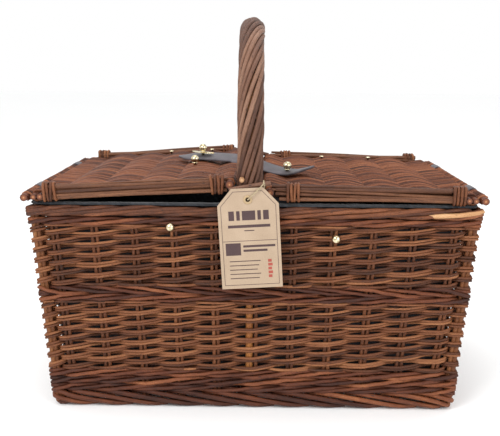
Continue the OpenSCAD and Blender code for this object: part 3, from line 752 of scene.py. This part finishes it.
def bent_rod(a, b, bow_out, count=9):
    """Points from a to b with a slight bow."""
    return [a.lerp(b, i / (count - 1)) + bow_out * math.sin(math.pi * i / (count - 1)) for i in range(count)]


wraps, pegs = [], []
for low, high in islands("handle_wraps"):
    y = (low.y + high.y) / 2
    a, b = Vector((low.x + 0.4, y, low.z + 2.4)), Vector((high.x - 0.4, y, high.z - 2.4))
    if low.y > 0:
        a.z, b.z = b.z, a.z
    points = bent_rod(a, b, Vector((0, 0, 0.5)))
    wraps.append((points, taper(len(points), 2.55, 2.3), 0.6))
for low, high in islands("handle_pegs"):
    mid = (low + high) / 2
    points = bent_rod(Vector((mid.x, low.y, mid.z)), Vector((mid.x, high.y, mid.z)), Vector((0, 0, 0.2)), 5)
    pegs.append((points, taper(len(points), 2.6, 2.4), 0.5))
make_rods("handle_wrap_rods", wraps, "basket", "willow_handle", ["handle_wraps"], handle_bark, 12)
make_rods("handle_peg_rods", pegs, "basket", "willow_pale", ["handle_pegs"], cream_bark, 12, pale_end)


# ---------- lids ----------

class Lid:
    """A lid's own frame: x from the hinge axis towards the handle, z up from that axis."""

    def __init__(self, side, name):
        self.side, self.name = side, name
        self.body = name
        stick_high = corners(name + "_end_sticks")[1]
        hinge = Vector(joints[name + "_hinge"]["pos_m"]) / MM
        self.origin = Vector((hinge.x, 0, hinge.z))
        weave_low, weave_high = corners(name + "_weave")
        reach = (weave_high.x if side < 0 else -weave_low.x) + abs(hinge.x)
        tilt = math.radians(3.0 if side < 0 else 0.8)
        self.ahead = Vector((-side * math.cos(tilt), 0, math.sin(tilt)))
        self.up = Vector((side * math.sin(tilt), 0, math.cos(tilt)))
        self.length = reach / math.cos(tilt)
        self.half = stick_high.y

    def at(self, x, y, z):
        return self.origin + self.ahead * x + Y * y + self.up * z


WEAVER_R = 1.36
# Rows of a lid's border from the outside in: distance from the lid's middle, heights of the rods
BORDER_ROWS = ((143.6, (-1.4, 1.6, 5.0, 8.2)), (140.6, (0.0, 3.4, 6.8, 9.8)),
               (138.0, (0.2, 4.2, 8.4)), (136.2, (1.2, 4.6, 8.0)))
LOOPS_Y, LOOP_HALF = 85.0, 12.0


def build_lid(side, name, seed):
    rng = random.Random(seed)
    lid = Lid(side, name)
    end_x = lid.length - 4.4
    pitch = (end_x - 15.9) / 5
    inner_xs = [15.9 + pitch * (i + 1) for i in range(4)]
    # Sticks run from front to back
    ends = []
    for x, z, r, reach in ((0, 0, 3.75, lid.half), (9.4, 0, 3.05, lid.half - 0.5),
                           (15.9, 0, 3.05, lid.half - 1), (end_x, 4, 4.2, lid.half)):
        keys = [lid.at(x + rng.uniform(-0.15, 0.15), -reach + 2 * reach * i / 12, z) for i in range(13)]
        ends.append((keys, taper(13, r, r * 0.97), rng.uniform(0.3, 0.9)))
    make_rods(name + "_end_stick_rods", ends, name, "willow_thick", [name + "_end_sticks"], wale_bark, 14)
    inner = []
    for x in inner_xs:
        keys = [lid.at(x + rng.uniform(-0.3, 0.3), -135.5 + 271 * i / 12, 4) for i in range(13)]
        inner.append((keys, taper(13, 2.5, 2.3), rng.random()))
    make_rods(name + "_stick_rods", inner, name, "willow", [name + "_sticks"], bark, 10)
    # Weavers alternate over and under the sticks and curl round the stick at each end
    weavers = []
    count = 92
    stations = [(12.6, 0.0, 3.05)] + [(x, 4.0, 2.5) for x in inner_xs] + [(end_x, 4.0, 3.9)]
    for j in range(count):
        y = -136.2 + 272.4 * j / (count - 1)
        flip = 1 if j % 2 else -1
        thick = WEAVER_R * rng.uniform(0.86, 1.1)
        clear_of_loop = abs(abs(y) - LOOPS_Y) > LOOP_HALF
        keys = []
        if clear_of_loop:
            turn = 3.75 + thick * 0.8
            for angle in (150, 90, 30):
                a = math.radians(angle)
                keys.append(lid.at(turn * math.cos(a), y, -flip * turn * math.sin(a) * 0.92))
        for i, (x, z, r) in enumerate(stations):
            way = flip * (-1) ** i
            reach = (r + thick * 0.86) * way
            if i == 0:
                keys += [lid.at(x - 4.5, y, z + reach * 0.98), lid.at(x + 4.0, y, z + reach * 0.98)]
            elif i == len(stations) - 1:
                turn = r + thick * 0.8
                for angle in (110, 60, 0, -55):
                    a = math.radians(angle)
                    keys.append(lid.at(x + turn * math.cos(a), y + rng.uniform(-0.1, 0.1),
                                       z + way * turn * math.sin(a)))
            else:
                keys.append(lid.at(x + rng.uniform(-0.6, 0.6), y + rng.uniform(-0.45, 0.45), z + reach))
        line = smooth_line(keys, 5)
        weavers.append((line, taper(len(line), thick, thick * rng.uniform(0.85, 1.05)), rng.random()))
    make_rods(name + "_weavers", weavers, name, "willow", [name + "_weave"], lid_bark, 7)
    # Front and back borders: a stack of slightly slanting rods
    border = []
    from_x, to_x = 18.5, lid.length - 8.0
    for face in (-1, 1):
        for y, levels in BORDER_ROWS:
            for level in levels:
                inner_row = y < 139
                begin = from_x + rng.uniform(-2, 1 if inner_row else 16)
                stop = to_x + rng.uniform(-1 if inner_row else -6, 2)
                slant = rng.uniform(-0.8, 0.8) if inner_row else rng.uniform(-2.0, 4.5)
                thick = rng.uniform(2.1, 2.35) if inner_row else rng.uniform(1.6, 2.35)
                keys = []
                for i in range(9):
                    share = i / 8
                    keys.append(lid.at(begin + (stop - begin) * share,
                                       face * (y + 0.4 * math.sin(share * 5 + level)),
                                       level + slant * (share - 0.5) + 0.35 * math.sin(share * 7 + level)))
                border.append((keys, taper(9, thick, thick * 0.8), rng.random()))
    make_rods(name + "_border_rods", border, name, "willow_thick", [name + "_borders"], border_bark, 10)
    # Split cane wound four times round each end of the borders
    cane = []
    for face in (-1, 1):
        for mid_x in (25.5, lid.length - (17.5 if side < 0 else 28)):
            for n in (-1.5, -0.5, 0.5, 1.5):
                keys = []
                lean, wide = rng.uniform(-1.0, 1.0), rng.uniform(0.96, 1.04)
                for i in range(18):
                    a = 2 * math.pi * i / 16
                    corner = 0.55
                    dy = math.copysign(abs(math.cos(a)) ** corner, math.cos(a)) * 6.3
                    dz = math.copysign(abs(math.sin(a)) ** corner, math.sin(a)) * 9.0
                    keys.append(lid.at(mid_x + n * 3.5 + lean * math.sin(a) + 0.5 * math.cos(a),
                                       face * (141 + dy * 0.92 * wide), 4.1 + dz * 0.97 * wide))
                cane.append((keys, taper(len(keys), 1.6, 1.4), rng.random()))
    make_rods(name + "_cane_wraps", cane, name, "willow_thick", [name + "_bindings"], bark, 8)
    return lid


left = build_lid(-1, "left_lid", 61)
right = build_lid(1, "right_lid", 62)


# ---------- turned brass ----------

def lathe(name, turned, body, slot, nodes, look, sides=28):
    """Turned pieces: each is (profile of (radius, height), foot, axis)."""
    mesh = bmesh.new()
    for profile, foot, axis in turned:
        across = axis.cross(X if abs(axis.x) < 0.7 else Y).normalized()
        third = axis.cross(across)
        rings = []
        for radius, height in profile:
            if radius < 0.01:
                rings.append([mesh.verts.new((foot + axis * height) * MM)])
            else:
                rings.append([mesh.verts.new((foot + axis * height + (
                    across * math.cos(2 * math.pi * i / sides) + third * math.sin(2 * math.pi * i / sides))
                    * radius) * MM) for i in range(sides)])
        for low, high in zip(rings, rings[1:]):
            for i in range(sides):
                j = (i + 1) % sides
                if len(low) == 1:
                    mesh.faces.new((low[0], high[j], high[i]))
                elif len(high) == 1:
                    mesh.faces.new((low[i], low[j], high[0]))
                else:
                    mesh.faces.new((low[i], low[j], high[j], high[i]))
    bmesh.ops.recalc_face_normals(mesh, faces=mesh.faces)
    made = bpy.data.meshes.new(name)
    mesh.to_mesh(made)
    mesh.free()
    made.polygons.foreach_set("use_smooth", [True] * len(made.polygons))
    made.materials.append(look)
    obj = bpy.data.objects.new(name, made)
    return keep_piece(obj, body, slot, *nodes)


def ball_profile(total, shank):
    """Ball on a waisted neck and a thin foot, with its shank below."""
    r = 4.7
    mid = total - r
    ball = [(r * math.cos(math.radians(a)), mid + r * math.sin(math.radians(a))) for a in range(-50, 90, 10)]
    return ([(0, -shank), (1.7, -shank), (1.8, 0.0), (3.4, 0.0), (3.5, 0.4), (3.0, 0.9), (2.1, 1.3)]
            + ball + [(0, total)])


front_balls = []
for low, high in islands("front_studs"):
    mid = (low + high) / 2
    surface_y = -(half_d(mid.z)) - 0.3
    profile = ball_profile(surface_y - low.y, high.y - surface_y)
    front_balls.append((profile, Vector((mid.x, surface_y, mid.z)), -Y))
lathe("front_ball_studs", front_balls, "basket", "brass", ["front_studs"], brass)
washers = []
for low, high in islands("front_stud_washers"):
    mid = (low + high) / 2
    washers.append(([(2.0, 0.0), (5.6, 0.0), (5.9, 0.35), (5.6, 0.9), (2.0, 1.0), (2.0, 0.0)],
                    Vector((mid.x, high.y, mid.z)), -Y))
lathe("inner_washers", washers, "basket", "brass", ["front_stud_washers"], brass)

plate_low, plate_high = corners("strap_plate")
balls = []
for low, high in islands("left_ball_studs"):
    mid = (low + high) / 2
    top_z = high.z
    foot_z = plate_high.z if abs(mid.x - (plate_low.x + plate_high.x) / 2) < 2 else high.z - 9.2
    balls.append((ball_profile(top_z - foot_z, foot_z - low.z), Vector((mid.x, mid.y, foot_z)), Z))
lathe("left_lid_ball_studs", balls, "left_lid", "brass", ["left_ball_studs"], brass)
low, high = corners("right_ball_stud")
mid = (low + high) / 2
# The right stud is drawn a little lower than its solid, down in the strap
seat_z = high.z - 10.6
lathe("right_lid_ball_stud", [(ball_profile(9.2, seat_z - low.z), Vector((mid.x, mid.y, seat_z)), Z)],
      "right_lid", "brass", ["right_ball_stud"], brass)
for lid in (left, right):
    domes = []
    for low, high in islands(lid.name + "_studs"):
        mid = (low + high) / 2
        top_z = high.z
        domes.append(([(0, -(top_z - low.z) + 1.6), (1.2, -(top_z - low.z) + 1.6), (1.2, 0.0), (2.9, 0.0),
                       (3.0, 0.35), (2.5, 0.95), (1.5, 1.4), (0, 1.6)],
                      Vector((mid.x, mid.y, top_z - 1.6)), Z))
    lathe(lid.name + "_dome_studs", domes, lid.body, "brass", [lid.name + "_studs"], brass, 20)

# Leaf plate under the left ball stud: a pointed oval with a raised rib and a soft edge
leaf = bmesh.new()
button_low, button_high = corners("right_ball_stud")
STRAP_TURN = math.atan2((button_low.y + button_high.y - plate_low.y - plate_high.y) / 2,
                        (button_low.x + button_high.x - plate_low.x - plate_high.x) / 2)
strap_ahead = Vector((math.cos(STRAP_TURN), math.sin(STRAP_TURN), 0))
strap_side = Vector((-math.sin(STRAP_TURN), math.cos(STRAP_TURN), 0))
leaf_mid = (plate_low + plate_high) / 2
LEAF_LONG, LEAF_WIDE = 16.5, 6.0
loops = []
for share in [i / 24 for i in range(25)]:
    s = LEAF_LONG * (2 * share - 1)
    wide = max(0.25, LEAF_WIDE * (1 - (s / LEAF_LONG) ** 2))
    loop = []
    for i in range(16):
        a = 2 * math.pi * i / 16
        v = math.cos(a) * wide
        top = 0.6 + 0.5 * (1 - abs(math.cos(a))) + (0.25 if i in (3, 4, 5) else 0)
        w = math.sin(a) * (top if math.sin(a) > 0 else 0.55)
        loop.append(leaf.verts.new((leaf_mid + strap_ahead * s + strap_side * v + Z * w) * MM))
    loops.append(loop)
for a, b in zip(loops, loops[1:]):
    for i in range(16):
        leaf.faces.new((a[i], a[(i + 1) % 16], b[(i + 1) % 16], b[i]))
leaf.faces.new(loops[0])
leaf.faces.new(list(reversed(loops[-1])))
bmesh.ops.recalc_face_normals(leaf, faces=leaf.faces)
leaf_mesh = bpy.data.meshes.new("leaf_plate")
leaf.to_mesh(leaf_mesh)
leaf.free()
leaf_mesh.polygons.foreach_set("use_smooth", [True] * len(leaf_mesh.polygons))
leaf_mesh.materials.append(brass)
keep_piece(bpy.data.objects.new("leaf_plate", leaf_mesh), "left_lid", "brass", "strap_plate")


# ---------- leather ----------

def skin_of_loops(name, loops, look, closed_ring=False, smooth=True):
    """A closed mesh through loops of points with equal counts; flat ends unless it is a ring."""
    made = bmesh.new()
    rings = [[made.verts.new(p * MM) for p in loop] for loop in loops]
    pairs = list(zip(rings, rings[1:]))
    if closed_ring:
        pairs.append((rings[-1], rings[0]))
    for a, b in pairs:
        n = len(a)
        for i in range(n):
            made.faces.new((a[i], a[(i + 1) % n], b[(i + 1) % n], b[i]))
    if not closed_ring:
        made.faces.new(list(reversed(rings[0])))
        made.faces.new(rings[-1])
    bmesh.ops.recalc_face_normals(made, faces=made.faces)
    mesh = bpy.data.meshes.new(name)
    made.to_mesh(mesh)
    made.free()
    mesh.polygons.foreach_set("use_smooth", [smooth] * len(mesh.polygons))
    mesh.materials.append(look)
    return bpy.data.objects.new(name, mesh)


def band_section(half, thick, soft=0.8):
    """Rounded flat section as (across, up) pairs."""
    section = []
    for sx, sy, start in ((1, 1, 0), (-1, 1, 90), (-1, -1, 180), (1, -1, 270)):
        for step in (0, 45, 90):
            a = math.radians(start + step)
            section.append((sx * (half - soft) + soft * math.cos(a),
                            sy * (thick / 2 - soft) + soft * math.sin(a)))
    return section


# Closing strap, drawn as one band without its button holes
STRAP_MID = Vector((HANDLE_X, (plate_low.y + plate_high.y) / 2
                    + (HANDLE_X - (plate_low.x + plate_high.x) / 2) * math.tan(STRAP_TURN), 0))
STRAP_T = 2.4


def lid_top(lid, x):
    """Height of a lid's woven top over the world place x."""
    return lid.origin.z + (abs(lid.origin.x) - abs(x)) * lid.ahead.z + 9.6 * lid.up.z


def strap_bottom(s):
    keys = [(-109, left, 1.8), (-92, left, 3.2), (-71.5, left, 3.8), (-50, left, 3.8), (-18, left, 2.8),
            (0, None, 0.8), (16, right, 4.8), (34, right, 1.8), (48.5, right, 1.0), (60, right, 2.6),
            (87, right, 10.0)]
    values = []
    for place, lid, lift in keys:
        if lid is None:
            values.append((place, lid_top(left, (STRAP_MID + strap_ahead * -18).x) + lift))
        else:
            values.append((place, lid_top(lid, (STRAP_MID + strap_ahead * place).x) + lift))
    for i in range(len(values) - 1):
        if s <= values[i + 1][0]:
            before = values[max(i - 1, 0)][1]
            a, b = values[i][1], values[i + 1][1]
            after = values[min(i + 2, len(values) - 1)][1]
            t = (s - values[i][0]) / (values[i + 1][0] - values[i][0])
            return 0.5 * (2 * a + (b - before) * t + (2 * before - 5 * a + 4 * b - after) * t * t
                          + (3 * a - before - 3 * b + after) * t ** 3)
    return values[-1][1]


strap_loops = []
for n in range(86):
    s = -108.5 + 189.5 * n / 85
    to_point = (s + 109) / 26
    wide = 12.3 * min(1.0, 0.12 + 0.88 * math.sin(min(1.0, to_point) * math.pi / 2))
    if s > 60:
        wide = 12.3 - 8.0 * ((s - 60) / 21) ** 1.5
    bottom = strap_bottom(s)
    loop = []
    for across, up in band_section(wide, STRAP_T, 0.9 if wide > 2 else 0.5 * wide):
        roll = 0.2 if s < -20 else 0.2 * max(0.0, (10 - s) / 30) + 0.12
        droop = -0.9 * (across / 12.5) ** 2 + roll * across * min(1.0, max(0.0, (s + 112) / 20))
        lift_z = bottom + STRAP_T / 2 + up + droop
        loop.append(STRAP_MID + strap_ahead * s + strap_side * across + Z * lift_z)
    strap_loops.append(loop)
strap = skin_of_loops("leather_closing_strap", strap_loops, black_leather)
scene.collection.objects.link(strap)
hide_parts("closing_strap")
lift = joints["strap_lift"]
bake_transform(strap)

# Hinge loops: one folded strip each, a tab outside the rim that rolls over the hinge stick
LOOP_RING = 5.0
LOOP_HALF_WIDE = 10.8
LOOP_THICK = 1.7
TAB_HEIGHTS = (207, 212, 218, 222.5)
ROLL_ANGLES = (200, 180, 150, 120, 90, 60, 30, 0, -30, -60, -90, -120, -150)
for lid in (left, right):
    node_name = lid.name.replace("_lid", "_hinge_loops")
    tab_x = lid.side * (half_w(210) + 1.3)
    for low, high in islands(node_name):
        mid_y = (low.y + high.y) / 2
        strip = [Vector((tab_x, mid_y, z)) for z in TAB_HEIGHTS]
        for angle in ROLL_ANGLES:
            a = math.radians(angle)
            strip.append(Vector((lid.origin.x - lid.side * LOOP_RING * math.cos(a), mid_y,
                                 lid.origin.z + LOOP_RING * math.sin(a))))
        line = smooth_line(strip, 2.0)
        loops = []
        for i, point in enumerate(line):
            ahead = (line[min(i + 1, len(line) - 1)] - line[max(i - 1, 0)]).normalized()
            normal = ahead.cross(Y).normalized()
            section = band_section(LOOP_HALF_WIDE, LOOP_THICK, 0.6)
            loops.append([point + Y * across + normal * up for across, up in section])
        end = "front" if mid_y < 0 else "back"
        piece = skin_of_loops(node_name + "_" + end, loops, black_leather)
        keep_piece(piece, "basket", "black_leather", node_name)


# ---------- cloth ----------

def rounded(half_x, half_y, radius, count):
    """Points of a rounded rectangle, anticlockwise."""
    straight_x, straight_y = half_x - radius, half_y - radius
    lengths = [2 * straight_y, math.pi * radius / 2, 2 * straight_x, math.pi * radius / 2] * 2
    total = sum(lengths)
    outline = []
    for i in range(count):
        d = total * i / count
        index = 0
        while d > lengths[index]:
            d -= lengths[index]
            index += 1
        quarter, arc = divmod(index, 2)
        sx, sy = ((1, 1), (-1, 1), (-1, -1), (1, -1))[quarter]
        if arc:
            a = math.radians(90 * quarter) + d / radius
            outline.append(Vector((sx * straight_x + radius * math.cos(a),
                                   sy * straight_y + radius * math.sin(a), 0)))
        else:
            a = math.radians(90 * quarter)
            start = ((1, -1), (1, 1), (-1, 1), (-1, -1))[quarter]
            ahead = ((0, 1), (-1, 0), (0, -1), (1, 0))[quarter]
            outline.append(Vector((start[0] * straight_x + radius * math.cos(a) + ahead[0] * d,
                                   start[1] * straight_y + radius * math.sin(a) + ahead[1] * d, 0)))
    return outline


def cloth_grid(name, rows, look, thick, closed_ring=True, middle=False):
    """A cloth through rows of points, thickened evenly; middle closes the last row."""
    made = bmesh.new()
    grid = [[made.verts.new(p * MM) for p in row] for row in rows]
    n = len(grid[0])
    for a, b in zip(grid, grid[1:]):
        for i in range(n if closed_ring else n - 1):
            made.faces.new((a[i], a[(i + 1) % n], b[(i + 1) % n], b[i]))
    if middle:
        hub = made.verts.new(sum((v.co for v in grid[-1]), Vector()) / n)
        for i in range(n):
            made.faces.new((grid[-1][i], grid[-1][(i + 1) % n], hub))
    bmesh.ops.recalc_face_normals(made, faces=made.faces)
    mesh = bpy.data.meshes.new(name)
    made.to_mesh(mesh)
    made.free()
    mesh.polygons.foreach_set("use_smooth", [True] * len(mesh.polygons))
    mesh.materials.append(look)
    obj = bpy.data.objects.new(name, mesh)
    scene.collection.objects.link(obj)
    return thicken(obj, thick)


def thicken(obj, thick):
    """Gives a sheet its thickness for good."""
    solid = obj.modifiers.new("thickness", "SOLIDIFY")
    solid.thickness = thick * MM
    solid.offset = 0
    graph = bpy.context.evaluated_depsgraph_get()
    finished = bpy.data.meshes.new_from_object(obj.evaluated_get(graph), preserve_all_data_layers=True,
                                               depsgraph=graph)
    obj.modifiers.clear()
    obj.data = finished
    return obj


liner_low, liner_high = corners("liner")
LINER_INSET = 13.2
rows = []
COUNT = 220
wall_rows = 26
for r in range(wall_rows):
    z = liner_high.z + 0.4 - (liner_high.z - liner_low.z - 3.0) * r / (wall_rows - 1)
    outline = rounded(half_w(z) - LINER_INSET, half_d(z) - LINER_INSET, 9, COUNT)
    free = math.sin(math.pi * r / (wall_rows - 1)) ** 0.5 if 0 < r < wall_rows - 1 else 0
    row = []
    for i, p in enumerate(outline):
        fold = noise.noise(Vector((p.x * 0.018, p.y * 0.018, z * 0.006))) + 0.5 * noise.noise(
            Vector((p.x * 0.05 + 9, p.y * 0.05, z * 0.02)))
        inward = max(0.0, 1.6 + 3.2 * fold) * free
        row.append(Vector((p.x, p.y, z)) - p.normalized() * inward)
    rows.append(row)
floor_z = liner_low.z + 1.4
for share in (0.985, 0.95, 0.9, 0.8, 0.7, 0.6, 0.5, 0.4, 0.3, 0.2, 0.1, 0.05):
    z = floor_z
    base = rounded(half_w(z) - LINER_INSET, half_d(z) - LINER_INSET, 9, COUNT)
    row = []
    for p in base:
        place = Vector((p.x * share, p.y * share, 0))
        ripple = 0.9 + noise.noise(Vector((place.x * 0.03, place.y * 0.03, 4.0))) * 0.9
        row.append(Vector((place.x, place.y, floor_z + ripple)))
    rows.append(row)
liner = cloth_grid("cotton_liner", rows, charcoal, 0.8, middle=True)
keep_piece(liner, "basket", "charcoal_cloth", "liner")

# Hem: the lining folded flat over the top of the border
hem_low, hem_high = corners("liner_hem")
hem_loops = []
hem_line = rounded(hem_high.x - 5.5, hem_high.y - 5.5, 8, 240)
hem_inner = rounded(hem_high.x - 6.5, hem_high.y - 6.5, 8, 240)
for p, q in zip(hem_line, hem_inner):
    out = (p - q).normalized()
    ripple = 0.25 * noise.noise(p * 0.06)
    mid = Vector((p.x, p.y, (hem_low.z + hem_high.z) / 2 + ripple * 0.5))
    section = []
    for across, up in band_section(5.4, 2.1, 0.7):
        crumple = 0.25 * noise.noise(Vector((p.x * 0.1, p.y * 0.1, across)))
        section.append(mid + out * (across + ripple) + Z * (up + crumple))
    hem_loops.append(section)
hem = skin_of_loops("folded_hem", hem_loops, charcoal, closed_ring=True)
keep_piece(hem, "basket", "charcoal_cloth", "liner_hem")

for lid in (left, right):
    rows = []
    for r in range(34):
        x = 4 + (lid.length - 12.5) * r / 33
        row = []
        for i in range(46):
            y = -134.5 + 269 * i / 45
            pull = noise.noise(Vector((x * 0.03, y * 0.03, lid.side * 3.0)))
            row.append(lid.at(x + 8, y, -2.9 + 0.35 * pull))
        rows.append(row)
    lining = cloth_grid(lid.name + "_cotton_lining", rows, charcoal, 0.5, closed_ring=False)
    keep_piece(lining, lid.body, "charcoal_cloth", lid.name + "_lining")


# ---------- hang tag ----------

TAG_TILT = math.radians(3.5)
eye_low, eye_high = corners("tag_eyelet")
eye = (eye_low + eye_high) / 2
tag_right = Vector((math.cos(TAG_TILT), 0, math.sin(TAG_TILT)))
tag_up = Vector((-math.sin(TAG_TILT), 0, math.cos(TAG_TILT)))


def on_tag(u, v, out):
    """Place on the tag: u to the right and v up from the eyelet, out in front of the card's middle."""
    return eye + tag_right * u + tag_up * v - Y * out


tag_node = frame["nodes"]["tag"]
tag_node.material_slots[0].link = "OBJECT"
tag_node.material_slots[0].material = kraft

TAG_FACE = 0.42


def printed(name, shapes, look):
    """Thin print on the card's face; each shape is a list of (u, v) corners."""
    made = bmesh.new()
    for shape in shapes:
        front = [made.verts.new(on_tag(u, v, TAG_FACE + 0.1) * MM) for u, v in shape]
        back = [made.verts.new(on_tag(u, v, TAG_FACE - 0.1) * MM) for u, v in shape]
        n = len(shape)
        made.faces.new(front)
        made.faces.new(list(reversed(back)))
        for i in range(n):
            made.faces.new((front[(i + 1) % n], front[i], back[i], back[(i + 1) % n]))
    bmesh.ops.recalc_face_normals(made, faces=made.faces)
    mesh = bpy.data.meshes.new(name)
    made.to_mesh(mesh)
    made.free()
    mesh.materials.append(look)
    keep_piece(bpy.data.objects.new(name, mesh), "hang_tag", "card")


def bar(u0, v0, u1, v1):
    return [(u0, v0), (u1, v0), (u1, v1), (u0, v1)]


def stroke(a, b, wide):
    """A thin straight line as a shape."""
    a, b = Vector(a), Vector(b)
    side = (b - a).orthogonal().normalized() * wide / 2
    return [tuple(a - side), tuple(b - side), tuple(b + side), tuple(a + side)]


frame_corners = [(-27.3, -86.8), (27.3, -86.8), (27.3, -6.0), (14.4, 8.4), (-14.4, 8.4), (-27.3, -6.0)]
dark_shapes = [stroke(a, b, 0.45) for a, b in zip(frame_corners, frame_corners[1:] + frame_corners[:1])]
dark_shapes += [stroke((-27.3, -41.5), (27.3, -41.5), 0.45), bar(-24.6, -56.0, -9.5, -43.5)]
dark_shapes += [bar(-20, -20.5, -14.5, -11.0), bar(-12.2, -20.5, -8.8, -11.0), bar(-6.6, -20.5, 6.6, -11.0),
                bar(8.8, -20.5, 12.2, -11.0), bar(14.5, -20.5, 20, -11.0)]
dark_shapes += [bar(-21, -28.0, 21, -25.2), bar(-5, -31.5, 5, -30.6)]
dark_shapes += [bar(-7.0, -48.2, 25.0, -46.0), bar(-7.0, -52.6, 17.0, -50.4)]
dark_shapes += [bar(-21.5, -62.6 - 4.4 * i, 9.5 - (i % 3) * 1.6, -61.8 - 4.4 * i) for i in range(5)]
printed("tag_print", dark_shapes, ink)
red_shapes = [bar(17.0, -64.0 - 4.0 * i, 20.6 + 0.8 * (i % 2), -61.2 - 4.0 * i) for i in range(5)]
printed("tag_red_print", red_shapes, red_ink)

ring_profile = [(2.25, -0.9), (2.6, -1.0), (4.4, -0.9), (4.6, -0.6), (4.2, -0.42), (3.0, -0.42), (3.0, 0.42),
                (4.2, 0.42), (4.6, 0.6), (4.4, 0.9), (2.6, 1.0), (2.25, 0.9), (2.2, 0.0), (2.25, -0.9)]
lathe("tag_eye_ring", [(ring_profile, eye.copy(), -Y)], "hang_tag", "eyelet", ["tag_eyelet"], eyelet_metal)

# Three-ply string: once round the wrap rod, then down in front of the card and in at the eyelet
front_wrap = islands("handle_wraps")[0]
rod_y = (front_wrap[0].y + front_wrap[1].y) / 2
RING_X = 10.0
rod_z = (front_wrap[0].z + front_wrap[1].z) / 2 + (RING_X - HANDLE_X) * math.tan(math.radians(10))
ring_r = 2.5 + 0.3 + 0.8
offsets = [(15.5, -2, 16.2), (12, -2.3, 12.2), (6, -2.4, 6), (1, -2.3, 1.2), (0.1, -1.2, 0.2), (0, 2.4, 0)]
course = [Vector((RING_X + 0.9 * (i / 20 - 0.5), rod_y - ring_r * math.cos(2 * math.pi * i / 20 + 0.3),
                  rod_z + ring_r * math.sin(2 * math.pi * i / 20 + 0.3))) for i in range(21)]
course += [eye + Vector(offset) for offset in offsets]
core = smooth_line(course, 1.0)
plies = []
for ply in range(3):
    points = []
    travelled = 0.0
    for i, point in enumerate(core):
        if i:
            travelled += (point - core[i - 1]).length
        ahead = (core[min(i + 1, len(core) - 1)] - core[max(i - 1, 0)]).normalized()
        across = ahead.cross(Vector((-0.35, 0.35, 0.87))).normalized()
        third = ahead.cross(across)
        a = 2 * math.pi * (travelled / 5.0 + ply / 3)
        points.append(point + (across * math.cos(a) + third * math.sin(a)) * 0.4)
    plies.append((points, [0.42] * len(points), 0.3 + 0.2 * ply))
make_rods("tag_string_plies", plies, "tag_string", "cotton_string", ["tag_string"], cotton, 8, cotton)
